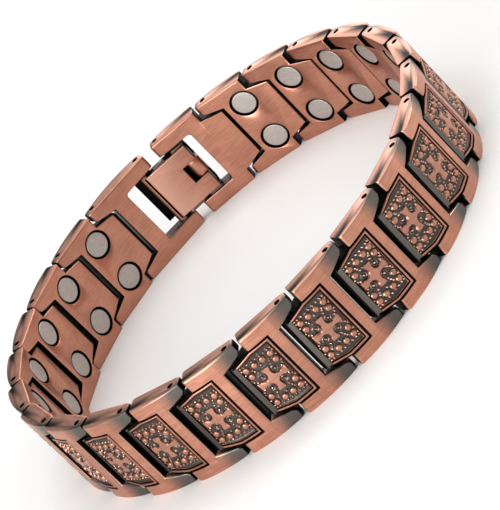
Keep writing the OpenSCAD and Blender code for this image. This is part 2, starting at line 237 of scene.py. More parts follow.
@dataclass(frozen=True)
class Loop:
    """The closed loop: a circle through all the pins, whose chords are the pin distances."""

    sizes: ChainSizes
    radius: float
    hinge_bar_angle: float

    @classmethod
    def closed(cls, sizes: ChainSizes) -> Loop:
        """The loop whose chords make one whole turn, found by repeated scaling.

        Args:
            sizes: the chain's sizes.

        Returns:
            The loop with its radius and the angle of the hinge bar.
        """
        chords = [sizes.left_end_pitch, sizes.right_end_pitch, sizes.bar_span]
        chords += [sizes.pitch] * sizes.link_count
        spans = np.array(chords)
        radius = spans.sum() / math.tau
        for _ in range(SCALING_ROUNDS):
            radius *= 2 * np.arcsin(spans / (2 * radius)).sum() / math.tau
        half_bar = math.asin(sizes.bar_span / (2 * radius))
        return cls(sizes, float(radius), math.pi / 2 + half_bar)

    def chord_angle(self, chord: float) -> float:
        """The angle at the loop's centre under a chord."""
        return 2 * math.asin(chord / (2 * self.radius))

    def pin_angle(self, number: int) -> float:
        """The angle of a chain pin, from 1 at the left end link."""
        start = self.hinge_bar_angle + self.chord_angle(self.sizes.left_end_pitch)
        return start + (number - 1) * self.chord_angle(self.sizes.pitch)

    def between(self, ear_angle: float, tongue_angle: float) -> Matrix:
        """The place of a link between its ear pin and its tongue pin, in millimetres.

        Args:
            ear_angle: the ear pin's angle.
            tongue_angle: the tongue pin's angle.

        Returns:
            The link's place.
        """
        turn = Matrix.Rotation((ear_angle + tongue_angle) / 2 - math.pi / 2, 4, "Z")
        pin = Vector((math.cos(ear_angle), math.sin(ear_angle), 0)) * self.radius
        return Matrix.Translation(pin) @ turn

    def link_place(self, number: int) -> Matrix:
        """The place of an ordinary link, counted from the clasp's hinge side."""
        return self.between(self.pin_angle(number + 1), self.pin_angle(number))

    def left_end_place(self) -> Matrix:
        """The place of the end link on the clasp's hinge side."""
        return self.between(self.pin_angle(1), self.hinge_bar_angle)

    def right_end_place(self) -> Matrix:
        """The place of the end link on the clasp's hook side."""
        hook_bar_angle = math.tau + math.pi - self.hinge_bar_angle
        return self.between(hook_bar_angle, self.pin_angle(self.sizes.link_count + 1))

    def hinge_bar_place(self) -> Matrix:
        """The place of the clasp, at its hinge bar, with X towards the hook bar."""
        bar = Vector((math.cos(self.hinge_bar_angle), math.sin(self.hinge_bar_angle), 0))
        return Matrix.Translation(bar * self.radius)


def smooth(value: np.ndarray, low: float, high: float) -> np.ndarray:
    """A soft step: 0 below low, 1 above high, and the cubic 3t^2 - 2t^3 between them."""
    t = np.clip((value - low) / (high - low), 0, 1)
    return t * t * (3 - 2 * t)


def rounding(distances: Sequence[np.ndarray], radius: float) -> np.ndarray:
    """How far a face drops near its edges, so that the edges are rounded.

    Each distance from an edge that is under the radius counts as radius - distance. Their root
    sum of squares t gives the drop radius - sqrt(radius^2 - t^2): a quarter circle across one
    edge and a part of a ball at a corner.

    Args:
        distances: distances from each edge, in millimetres.
        radius: the radius of the rounded edge.

    Returns:
        The drop at each point.
    """
    total = sum(np.clip(radius - d, 0, radius) ** 2 for d in distances)
    reach = np.minimum(np.sqrt(total), radius)
    return radius - np.sqrt(radius**2 - reach**2)


def sheets(top: np.ndarray, low: np.ndarray, top_drop: np.ndarray,
           low_drop: np.ndarray) -> tuple[np.ndarray, np.ndarray]:
    """Upper and lower sheet once their edges are rounded.

    Each sheet is the middle height plus or minus half of the thickness less the drop, and never
    less than LEAST_MM from the middle, so a thin end stays in its middle.

    Args:
        top: height of the upper sheet.
        low: height of the lower sheet.
        top_drop: how far the upper sheet drops.
        low_drop: how far the lower sheet rises.

    Returns:
        Both heights.
    """
    middle, half = (top + low) / 2, (top - low) / 2
    upper = middle + np.maximum(half - top_drop, LEAST_MM)
    return upper, middle - np.maximum(half - low_drop, LEAST_MM)


def corner_cut(into: np.ndarray, radius: float) -> np.ndarray:
    """How far an outline steps back at a rounded corner, at the distance into from its end."""
    missing = np.clip(radius - into, 0, radius)
    return radius - np.sqrt(radius**2 - missing**2)


def spread(keys: Sequence[float], around: Sequence[float], others: Sequence[float],
           gap: float = WALL_MM) -> np.ndarray:
    """Grid lines: each key, some lines round each key, and others.

    Args:
        keys: places that must have a line.
        around: offsets from each key.
        others: more lines.
        gap: how close a line may come to a key.

    Returns:
        The lines in order.
    """
    fixed = np.unique(np.asarray(keys, float))
    near = (fixed[:, None] + np.asarray(around, float)).ravel()
    more = np.unique(np.concatenate([near, np.asarray(others, float)]).round(6))
    more = more[np.abs(more[:, None] - fixed).min(1) > gap]
    more = more[(more > fixed[0]) & (more < fixed[-1])]
    return np.sort(np.concatenate([fixed, more]))


@dataclass
class Surface:
    """Points and quads of one surface, in millimetres."""

    points: np.ndarray
    quads: np.ndarray

    @classmethod
    def joined(cls, surfaces: Sequence[Surface]) -> Surface:
        """Several surfaces as one, with each one's quads counted on from the last.

        Args:
            surfaces: the surfaces.

        Returns:
            One surface.
        """
        offsets = np.cumsum([0] + [len(s.points) for s in surfaces[:-1]])
        quads = [s.quads + o for s, o in zip(surfaces, offsets)]
        return cls(np.concatenate([s.points for s in surfaces]), np.concatenate(quads))

    def moved(self, place: Matrix) -> Surface:
        """The same surface at another place."""
        return Surface(transformed(self.points, place), self.quads)


def transformed(points: np.ndarray, place: Matrix) -> np.ndarray:
    """Points moved by a 4x4 matrix."""
    m = np.array(place)
    return points @ m[:3, :3].T + m[:3, 3]


def slab(x: np.ndarray, z: np.ndarray, top: np.ndarray, low: np.ndarray,
         keep: np.ndarray) -> Surface:
    """A closed slab over those cells of an X-Z grid that are kept.

    The upper sheet is (x, top, z), the lower sheet is (x, low, z), and wherever a kept cell
    meets one that isn't kept, or the grid's edge, a wall joins the two sheets.

    Args:
        x: X at each grid point, m by n.
        z: Z at each grid point, m by n, growing along the second axis.
        top: height of the upper sheet at each grid point.
        low: height of the lower sheet at each grid point.
        keep: which cells are kept, m - 1 by n - 1.

    Returns:
        The slab, with its faces pointing outwards.
    """
    m, n = x.shape
    upper = np.arange(m * n).reshape(m, n)
    lower = upper + m * n
    points = np.concatenate([np.stack([x, y, z], -1).reshape(-1, 3) for y in (top, low)])

    def cells(grid: np.ndarray) -> np.ndarray:
        """The four corners of each kept cell."""
        corners = [grid[:-1, :-1], grid[:-1, 1:], grid[1:, 1:], grid[1:, :-1]]
        return np.stack(corners, -1)[keep]

    wide = np.pad(keep, 1)
    quads = [cells(upper), cells(lower)[:, ::-1]]
    ahead, behind = wide[1:, 1:-1], wide[:-1, 1:-1]
    a, b = (g[:, :-1] for g in (upper, lower))
    c, d = (g[:, 1:] for g in (lower, upper))
    across = np.stack([a, b, c, d], -1)
    quads += [across[ahead & ~behind], across[behind & ~ahead][:, ::-1]]
    right, left = wide[1:-1, 1:], wide[1:-1, :-1]
    along = np.stack([upper[:-1], upper[1:], lower[1:], lower[:-1]], -1)
    quads += [along[right & ~left], along[left & ~right][:, ::-1]]
    return Surface(points, np.concatenate(quads))


def turned(profile: np.ndarray, steps: int) -> Surface:
    """A closed surface of revolution about Y.

    A point (r, y) of the profile becomes (r cos a, y, r sin a) for the angles a of one turn.
    The profile starts and ends on the axis, so its ends close.

    Args:
        profile: points (r, y), from the lowest point on the axis to the highest.
        steps: how many steps one turn has.

    Returns:
        The surface, with its faces pointing outwards.
    """
    angle = np.arange(steps) * math.tau / steps
    r, y = profile[:, :1], profile[:, 1:]
    rows = [r * np.cos(angle), y + 0 * angle, r * np.sin(angle)]
    points = np.stack(rows, -1).reshape(-1, 3)
    grid = np.arange(len(points)).reshape(len(profile), steps)
    around = np.roll(grid, -1, 1)
    quads = np.stack([grid[:-1], grid[1:], around[1:], around[:-1]], -1)
    return Surface(points, quads.reshape(-1, 4))


@contextmanager
def edited(mesh: bpy.types.Mesh) -> Iterator[bmesh.types.BMesh]:
    """A mesh opened for editing and written back afterwards.

    Args:
        mesh: the mesh.

    Returns:
        The mesh's BMesh, while it is open.
    """
    bm = bmesh.new()
    bm.from_mesh(mesh)
    yield bm
    bm.to_mesh(mesh)
    bm.free()


def as_mesh(name: str, surface: Surface) -> bpy.types.Mesh:
    """A Blender mesh in millimetres from a surface, with its seams merged.

    Args:
        name: the mesh's name.
        surface: its points and quads.

    Returns:
        The mesh.
    """
    mesh = bpy.data.meshes.new(name)
    mesh.from_pydata(surface.points, [], surface.quads)
    with edited(mesh) as bm:
        bmesh.ops.remove_doubles(bm, verts=bm.verts, dist=MERGE_MM)
        bmesh.ops.dissolve_degenerate(bm, edges=bm.edges, dist=MERGE_MM)
    return mesh


def cut(mesh: bpy.types.Mesh, cutters: Sequence[Surface]) -> bpy.types.Mesh:
    """A mesh with several closed surfaces cut out of it.

    Args:
        mesh: the mesh to cut, in millimetres.
        cutters: closed surfaces that don't touch each other.

    Returns:
        The cut mesh.
    """
    scene = bpy.context.scene
    body = bpy.data.objects.new("cut_body", mesh)
    tool = bpy.data.objects.new("cut_tool", as_mesh("cut_tool", Surface.joined(cutters)))
    for obj in (body, tool):
        scene.collection.objects.link(obj)
    modifier = body.modifiers.new("cut", "BOOLEAN")
    modifier.operation = "DIFFERENCE"
    modifier.solver = "EXACT"
    modifier.object = tool
    bpy.context.view_layer.update()
    evaluated = body.evaluated_get(bpy.context.evaluated_depsgraph_get())
    result = bpy.data.meshes.new_from_object(evaluated)
    for obj in (body, tool):
        bpy.data.objects.remove(obj)
    return result


def carved(name: str, surface: Surface, cutters: Sequence[Surface]) -> bpy.types.Mesh:
    """A mesh of a surface whose flat stretches are joined into large faces, with cut-outs.

    Args:
        name: the mesh's name.
        surface: the surface.
        cutters: closed surfaces that don't touch each other.

    Returns:
        The mesh, in millimetres.
    """
    mesh = as_mesh(name, surface)
    with edited(mesh) as bm:
        bmesh.ops.dissolve_limit(bm, angle_limit=FLAT_ANGLE, verts=bm.verts, edges=bm.edges)
    return cut(mesh, cutters)


def coordinates(mesh: bpy.types.Mesh) -> np.ndarray:
    """The mesh's points as an array.

    Args:
        mesh: the mesh.

    Returns:
        One row for each point.
    """
    flat = np.empty(len(mesh.vertices) * 3)
    mesh.vertices.foreach_get("co", flat)
    return flat.reshape(-1, 3)


def set_masks(mesh: bpy.types.Mesh, masks: dict[str, np.ndarray]) -> None:
    """Stores masks and the place vector as attributes of the points.

    Args:
        mesh: the mesh that gets them.
        masks: a value or a vector for each point, by name.
    """
    for name, values in masks.items():
        kind = "FLOAT_VECTOR" if values.ndim == 2 else "FLOAT"
        layer = mesh.attributes.get(name) or mesh.attributes.new(name, kind, "POINT")
        key = "vector" if values.ndim == 2 else "value"
        layer.data.foreach_set(key, values.astype(np.float32).ravel())


def place_piece(name: str, mesh: bpy.types.Mesh, place: Matrix, body: Body,
                material: bpy.types.Material, nodes: Sequence[str]) -> bpy.types.Object:
    """Makes a finished piece from a mesh in a link's frame.

    Args:
        name: the piece's name.
        mesh: its mesh in millimetres, in its own frame.
        place: where that frame lies.
        body: the body that the piece rides on.
        material: its finish.
        nodes: the nodes that it stands for.

    Returns:
        The piece, at the origin with its place in its mesh.
    """
    mesh.name = name
    points = transformed(coordinates(mesh), place) * MM
    mesh.vertices.foreach_set("co", points.ravel())
    mesh.materials.clear()
    mesh.materials.append(material)
    mesh.shade_smooth()
    mesh.set_sharp_from_angle(angle=SHARP_ANGLE)
    mesh.update()
    obj = bpy.data.objects.new(name, mesh)
    bpy.context.scene.collection.objects.link(obj)
    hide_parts(*nodes)
    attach(obj, body.value)
    return obj


def band_lines(guide: np.ndarray, rim: np.ndarray, fine: Sequence[float], steps: int,
               between: Sequence[float], edge: Sequence[float]) -> np.ndarray:
    """Z of grid lines across the band that follow a guide line and the rim.

    From the middle the lines are evenly spread as far as the first fine one. Then come guide
    minus each fine distance, some shares of the way to the rim, and rim minus each edge
    distance. The other half of the band mirrors them.

    Args:
        guide: half the distance between the two guide lines at each X.
        rim: half the width of the band at each X.
        fine: distances from the guide line, positive towards the middle, falling.
        steps: how many even steps the middle has.
        between: shares of the way from the last fine line to the first edge line.
        edge: distances from the rim, falling to 0.

    Returns:
        Z for each X and line.
    """
    fine_z = guide[:, None] - np.array(fine)
    middle = fine_z[:, :1] * np.linspace(0, 1, steps // 2 + 1)[None, :-1]
    edge_z = rim[:, None] - np.array(edge)
    share = np.array(between)
    between_z = fine_z[:, -1:] * (1 - share) + edge_z[:, :1] * share
    half = np.concatenate([middle, fine_z, between_z, edge_z], 1)
    return np.concatenate([-half[:, :0:-1], half], 1)


def cell_middles(x: np.ndarray, z: np.ndarray) -> tuple[np.ndarray, np.ndarray]:
    """X and distance from the middle of the band, for each cell's middle."""
    corners = [(g[:-1, :-1] + g[:-1, 1:] + g[1:, :-1] + g[1:, 1:]) / 4 for g in (x, z)]
    return corners[0], np.abs(corners[1])


@dataclass(frozen=True)
class ReliefSizes:
    """The raised plate of an ordinary link, in millimetres."""

    plate_x: float = 3.85
    groove_w: float = 0.3
    groove_depth: float = 0.42
    border_w: float = 0.25
    end_border_w: float = 0.2
    border_round: float = 0.1
    ground_depth: float = 0.32
    line_at: float = 0.52
    line_half: float = 0.07
    line_h: float = 0.17
    cross_len: float = 4.6
    cross_h: float = 4.0
    arm_w: float = 0.8
    arm_end_w: float = 1.3
    hollow_r: float = 0.62
    hollow_x: float = 1.06
    hollow_z: float = 1.0
    middle_share: float = 0.98
    rosette_r: float = 0.42
    bead_r: float = 0.47
    bead_step: float = 1.31
    outer_row: float = 3.08
    inner_row: float = 1.93
    seed_r: float = 0.17
    ramp: float = 0.12
    cross_below: float = 0.03
    bead_rise: float = 1.04
    seed_rise: float = 0.7
    ring_half: float = 0.11
    ring_rise: float = 0.35
    core_rise: float = 0.8
    border_drop: float = 0.7
    # Share of seed_r on a bead's top that gets a painted highlight.
    bright_top: float = 0.6
    groove_wall: Pair = (-0.025, 0.015)
    groove_start: Pair = (-0.02, 0.01)
    plate_rise: Pair = (-0.05, 0.01)


# Middles of the small beads in one quarter of the plate, from the cross's middle.
SEEDS = (
    (0.0, 3.72), (1.3, 3.72), (2.42, 3.72), (0.65, 3.72), (1.95, 3.72),
    (0.0, 2.55), (1.16, 2.3), (0.98, 1.9), (2.45, 2.5), (1.3, 2.62),
    (2.25, 1.02), (2.4, 1.4), (1.95, 0.72), (2.5, 3.3),
)


@dataclass
class Relief:
    """The cast relief of an ordinary link's outer plate."""

    chain: ChainSizes
    sizes: ReliefSizes = field(default_factory=ReliefSizes)

    @property
    def end_x(self) -> float:
        """Where the plate ends and the tongue's flat end starts."""
        return self.chain.pitch + self.chain.tongue_reach - self.chain.tongue_bevel

    def side(self, x: np.ndarray) -> np.ndarray:
        """Half the plate's width at x: straight as far as the shoulders, then narrowing."""
        return self.chain.tongue_side(x, self.chain.pitch) - self.sizes.groove_w

    def inset(self, x: np.ndarray, z: np.ndarray) -> np.ndarray:
        """How far a point lies inside the plate's outline, negative outside it."""
        end = self.end_x - x + self.sizes.border_w - self.sizes.end_border_w
        return np.minimum(np.minimum(x - self.sizes.plate_x, end), self.side(x) - np.abs(z))

    def cross(self, u: np.ndarray, v: np.ndarray) -> np.ndarray:
        """Depth inside the cross: two flared bars, less four round hollows.

        A bar's half width grows from arm_w / 2 at the middle to arm_end_w / 2 at its end. The
        depth is the larger of the two bars' depths, and never more than the distance from a
        hollow's rim.

        Args:
            u: X from the cross's middle.
            v: Z from there.

        Returns:
            The depth, negative outside.
        """
        s = self.sizes
        flare = (s.arm_end_w - s.arm_w) / 2
        half_u = s.arm_w / 2 + flare * np.abs(u) / (s.cross_len / 2)
        half_v = s.arm_w / 2 + flare * np.abs(v) / (s.cross_h / 2)
        along = np.minimum(half_u - np.abs(v), s.cross_len / 2 - np.abs(u))
        point = s.cross_h / 2 - np.abs(v)
        across = np.minimum(half_v - np.abs(u), point)
        middle = s.middle_share * s.hollow_x - np.hypot(u, v)
        hollow = np.hypot(np.abs(u) - s.hollow_x, np.abs(v) - s.hollow_z) - s.hollow_r
        return np.minimum(np.maximum(np.maximum(along, across), middle), hollow)

    def large_beads(self) -> np.ndarray:
        """The middles of the large beads, from the cross's middle: two rows on each side.

        Returns:
            One row for each bead.
        """
        s = self.sizes
        columns = np.array([-1.5, -0.5, 0.5, 1.5]) * s.bead_step
        rows = [(u, side * s.outer_row) for side in (1, -1) for u in columns]
        rows += [(u, side * s.inner_row) for side in (1, -1) for u in columns[[0, 3]]]
        return np.array(rows)

    def small_beads(self) -> np.ndarray:
        """The middles of the small beads: one quarter's, mirrored both ways.

        Returns:
            One row for each bead.
        """
        quarter = np.array(SEEDS)
        signs = np.array([(1, 1), (-1, 1), (1, -1), (-1, -1)])
        return (quarter[None] * signs[:, None]).reshape(-1, 2)

    def rosettes(self) -> np.ndarray:
        """The middles of the rosettes, one in each hollow of the cross."""
        s = self.sizes
        return np.array([(u, v) for u in (-s.hollow_x, s.hollow_x)
                         for v in (-s.hollow_z, s.hollow_z)])

    def on_pearl(self, x: np.ndarray, z: np.ndarray) -> np.ndarray:
        """Whether a point is on top of a small bead or of a rosette's middle, where a painted
        highlight goes.

        Args:
            x: X of the points.
            z: Z of the points, from the middle of the band.

        Returns:
            Whether each point is on one.
        """
        middles = np.concatenate([self.small_beads(), self.rosettes()])
        away = np.hypot(x[:, None] - self.chain.shoulder_x - middles[:, 0],
                        z[:, None] - middles[:, 1])
        return away.min(1) < self.sizes.bright_top * self.sizes.seed_r

    def height(self, x: np.ndarray, z: np.ndarray) -> np.ndarray:
        """Height above the arched face: 0 on the border, and below it elsewhere.

        Outside the plate is the groove. Inside its border lies the ground with a thin line
        along the border. The cross and each bead rise from the ground, and the highest of
        them counts.

        Args:
            x: X of the points.
            z: Z of the points, from the middle of the band.

        Returns:
            The height at each point.
        """
        s = self.sizes
        inset = self.inset(x, z)
        u, v = x - self.chain.shoulder_x, z
        ground = np.full_like(x, -s.ground_depth)
        line = s.line_h * np.clip(1 - ((inset - s.line_at) / s.line_half) ** 2, 0, 1)
        raised = ground + line * (inset > s.border_w)
        cross = smooth(self.cross(u, v), 0.0, s.ramp) * (s.ground_depth - s.cross_below)
        raised = np.maximum(raised, ground + cross)
        for cx, cz in self.large_beads():
            ball = np.clip(1 - ((u - cx) ** 2 + (v - cz) ** 2) ** 3 / s.bead_r**6, 0, 1)
            raised = np.maximum(raised, ground + s.ground_depth * s.bead_rise * np.sqrt(ball))
        for cx, cz in self.small_beads():
            ball = np.clip(1 - ((u - cx) ** 2 + (v - cz) ** 2) / s.seed_r**2, 0, 1)
            raised = np.maximum(raised, ground + s.seed_rise * s.ground_depth * np.sqrt(ball))
        for cx, cz in self.rosettes():
            away = np.hypot(u - cx, v - cz)
            ring = np.clip(1 - ((away - s.rosette_r) / s.ring_half) ** 2, 0, 1)
            ball = np.clip(1 - (away / s.seed_r) ** 2, 0, 1)
            petal = np.maximum(s.ring_rise * ring, s.core_rise * np.sqrt(ball))
            raised = np.maximum(raised, ground + s.ground_depth * petal)
        end_border = self.end_x - x
        border = np.minimum(inset, np.minimum(end_border, s.border_w))
        on_border = (inset < s.border_w) | (end_border < s.end_border_w)
        rim = -s.border_drop * rounding([border], s.border_round)
        wall = smooth(inset, s.border_w - SLACK_MM, s.border_w + s.ramp)
        wall = wall * smooth(end_border, s.end_border_w - SLACK_MM, s.end_border_w + s.ramp)
        plate = np.where(on_border, rim, rim * (1 - wall) + raised * wall)
        rise = smooth(inset, *s.plate_rise)
        return np.where(x > self.end_x, 0.0, -s.groove_depth * (1 - rise) + plate * rise)


# Offsets of grid lines, in millimetres: close together where a surface bends.
# Round an end link's edges, from the guide of its grid, its shoulders and its tongue's end.
AROUND_EDGE = (-0.26, -0.2, -0.15, -0.1, -0.06, -0.025, 0.025, 0.06, 0.1, 0.15, 0.2, 0.26)
END_GUIDE_LINES = (0.26, 0.2, 0.15, 0.1, 0.06, 0.025, 0.0,
                   -0.025, -0.06, -0.1, -0.15, -0.2, -0.26)
END_SHOULDER_LINES = (0.4, 0.5)
END_TONGUE_LINES = (0.03, 0.07, 0.13, 0.23, 0.4, 0.5)
# Round the blade's edges, on its plain stretches along and across, and round its pins.
AROUND_BLADE = (-0.13, -0.09, -0.05, -0.02, 0.02, 0.05, 0.09, 0.13)
BLADE_PLAIN_X = (1.5, 2.5, 3.5)
BLADE_PLAIN_Z = (0.7, 2.3, 3.6)
BARREL_LINES = (-0.62, -0.55, -0.45, -0.3, -0.1, 0.1, 0.3, 0.45, 0.55, 0.62)
# From the rim of the band.
RIM_LINES = (0.24, 0.17, 0.11, 0.06, 0.025, 0.0)
# Along an ordinary link: at the plate's near border, its thin line, its far border, the tongue's
# end, the opening's root, the groove, the shoulders, and elsewhere.
BORDER_LINES = (0.04, 0.09, 0.16, 0.21, 0.26, 0.31, 0.37, 0.43)
THIN_LINES = (-0.06, -0.03, 0.0, 0.03, 0.06, 0.1)
FAR_BORDER_LINES = (-0.05, -0.02, 0.01, 0.06, 0.12)
TONGUE_LINES = (0.01, 0.04, 0.09, 0.15, 0.24, 0.45)
ROOT_LINES = (-0.1, 0.03, 0.08, 0.14, 0.2)
GROOVE_LINES = (-0.33, -0.31, -0.27, -0.15, -0.05, -0.02, 0.01)
SHOULDER_LINES = (0.5, 0.4, 0.3, 0.2, 0.12, 0.06, 0.02)
PLAIN_LINES = (0.5, 1.0, 1.5, 2.5, 2.8, 3.1, 3.35)
# Across an ordinary link, from the guide of its grid.
GUIDE_LINES = (0.62, 0.585, 0.55, 0.52, 0.49, 0.45, 0.4, 0.36, 0.32, 0.27, 0.22, 0.16, 0.09,
               0.03, -0.01, -0.05, -0.15, -0.27, -0.3, -0.33, -0.38, -0.46)
# Directions of the lines along a round tip, in degrees from its end.
TIP_DEGREES = (0, 4, 9, 14, 21, 28, 36, 45, 55, 66, 78)
# Directions of the lines in a slot's round corners, in degrees from its side.
SLOT_DEGREES = (8, 17, 27, 38, 50, 64, 78)


@dataclass(frozen=True)
class PatinaAndPaintedLight:
    """Where the links turn grey, dark and bright: patina and wear, and also painted shade beside
    gaps and painted highlights on edges.

    Pairs are where a change starts and where it is full, in millimetres from the place that
    the name says. The names with grey, dark, most and gain that hold one number are shares.
    """

    chain: ChainSizes
    inner_band: float = 0.3
    before_plate: float = 0.04
    beside_plate: float = 0.03
    ear_from: float = 0.2
    ear_over: float = 2.4
    tip_dark: float = 0.9
    tip_from: float = 0.35
    tip_full: float = 0.05
    root_grey: float = 0.35
    root_over: float = 0.7
    outer_face: Pair = (-0.6, -0.25)
    tongue_end: Pair = (-0.34, -0.24)
    ground_grey: Pair = (0.1, 0.26)
    ground_dark: Pair = (0.15, 0.32)
    ground_most: float = 0.42
    groove_dark: Pair = (0.04, 0.25)
    border_grey: float = 0.2
    outline_at: float = 0.08
    outline_half: float = 0.1
    outline_gain: float = 1.2
    outline_most: float = 0.9
    raised_depth: float = 0.12
    raised_grey: float = 0.18
    # The rim is bright from wear and a painted highlight.
    rim_start: Pair = (-0.02, 0.03)
    rim_from: float = 0.02
    rim_height: Pair = (-1.2, 0.2)
    # A painted highlight on the edges beside a gap.
    gap_highlight_edge: Pair = (0.05, 0.2)
    gap_highlight_most: float = 0.6
    end_outer_face: Pair = (-0.5, -0.2)
    end_tongue: Pair = (-0.25, 0.05)
    # The slot's wall is painted grey and half dark as shade.
    slot_wall: float = 0.03
    slot_behind: float = 0.04
    slot_above: float = 0.12
    slot_grey: float = 0.85
    slot_dark: float = 0.5

    @property
    def inner_y(self) -> float:
        """Height below which a point counts as on the inner side."""
        return self.inner_band - self.chain.inner_depth

    def ears(self, x: np.ndarray) -> np.ndarray:
        """How grey the ears are: fully at their tips, and fading towards the root."""
        return 1 - np.clip((x - self.ear_from) / self.ear_over, 0, 1)

    def tips(self, x: np.ndarray) -> np.ndarray:
        """How dark the ears are: only at their tips."""
        reach = self.chain.ear_reach
        return self.tip_dark * smooth(-x, reach - self.tip_from, reach - self.tip_full)

    def seams(self, y: np.ndarray, gap: np.ndarray) -> np.ndarray:
        """Painted shade on the inner side beside a gap: fully dark within half of seam_w of it.
        """
        width = self.chain.seam_w
        return (y < self.inner_y) * (1 - smooth(gap, 0.5 * width, width))

    def wear_and_highlight(self, away: np.ndarray, y: np.ndarray, gap: np.ndarray) -> np.ndarray:
        """How bright the metal is: worn and with a painted highlight on the rounded rim, and a
        weaker painted highlight on the edges beside a gap.

        Args:
            away: distance of the points from the middle of the band.
            y: their heights.
            gap: their distance from the nearest gap.

        Returns:
            The mask.
        """
        rim = np.clip(self.chain.half_w - away, 0, None)
        rim_wear_and_highlight = (1 - smooth(rim, self.rim_from, self.chain.edge_r)) * smooth(rim, *self.rim_start)
        rim_wear_and_highlight = rim_wear_and_highlight * smooth(y, *self.rim_height)
        return np.maximum(rim_wear_and_highlight, self.gap_highlight_most * (1 - smooth(gap, *self.gap_highlight_edge)))


@dataclass
class Outline:
    """Distances of a band piece's points from the edges of its openings and shoulders.

    Each distance is how far a point in the metal lies from that edge.
    """

    chain: ChainSizes

    def fork(self, x: np.ndarray, away: np.ndarray) -> np.ndarray:
        """From the opening between the ears at X = 0: its sides, its root and the corner.

        Args:
            x: X of the points.
            away: their distance from the middle of the band.

        Returns:
            The distances.
        """
        c = self.chain
        side = away - self.fork_side(x)
        corner = np.hypot(x - c.root_x, side)
        beyond = np.where(side < 0, x - c.root_x, corner)
        return np.where(x < c.root_x, side, beyond)

    def fork_side(self, x: np.ndarray) -> np.ndarray:
        """Half of the opening between the ears, with the cut corner at their tips.

        Args:
            x: X of the points.

        Returns:
            The half width.
        """
        c = self.chain
        corner = c.ear_corner - c.ear_reach
        return c.fork_half(np.maximum(x, corner)) + np.maximum(corner - x, 0)

    def tongue(self, x: np.ndarray, away: np.ndarray, pitch: float) -> np.ndarray:
        """From a tongue's side edges, and from the corner where they meet the shoulders.

        Args:
            x: X of the points.
            away: their distance from the middle of the band.
            pitch: distance between the piece's pins.

        Returns:
            The distances, or band_w where no such edge is near.
        """
        shoulder = pitch - self.chain.root_x
        side = self.chain.tongue_side(x, pitch) - away
        corner = np.hypot(np.maximum(shoulder - x, 0), np.maximum(side, 0))
        return np.where((side < 0) & (x < shoulder), self.chain.band_w, corner)

    def shoulder(self, x: np.ndarray, away: np.ndarray, pitch: float) -> np.ndarray:
        """From the shoulders' front edges, beside the tongue alone.

        Args:
            x: X of the points.
            away: their distance from the middle of the band.
            pitch: distance between the piece's pins.

        Returns:
            The distances, or band_w elsewhere.
        """
        shoulder = pitch - self.chain.root_x
        beside = away > self.chain.tongue_half(-self.chain.root_x) - LINE_MM
        return np.where(beside & (x < shoulder + LINE_MM), shoulder - x, self.chain.band_w)

    def slot(self, into: np.ndarray, away: np.ndarray) -> np.ndarray:
        """From an end link's slot, whose closed end lies at into = 0 with rounded corners.

        Args:
            into: distance into the slot.
            away: their distance from the middle of the band.

        Returns:
            The distances.
        """
        c = self.chain
        r = c.slot_corner_r
        across = away - (c.half_w - c.prong_w - r)
        along = r - into
        outside = np.hypot(np.maximum(across, 0), np.maximum(along, 0))
        return outside + np.minimum(np.maximum(across, along), 0) - r

    def slot_side(self, into: np.ndarray, tip: float) -> np.ndarray:
        """Half of the slot, with its rounded corners and the prongs' rounded tips.

        Args:
            into: distance into the slot.
            tip: that of the tips.

        Returns:
            The half width.
        """
        c = self.chain
        half = c.half_w - c.prong_w
        return half - corner_cut(into, c.slot_corner_r) + corner_cut(tip - into, c.prong_corner)


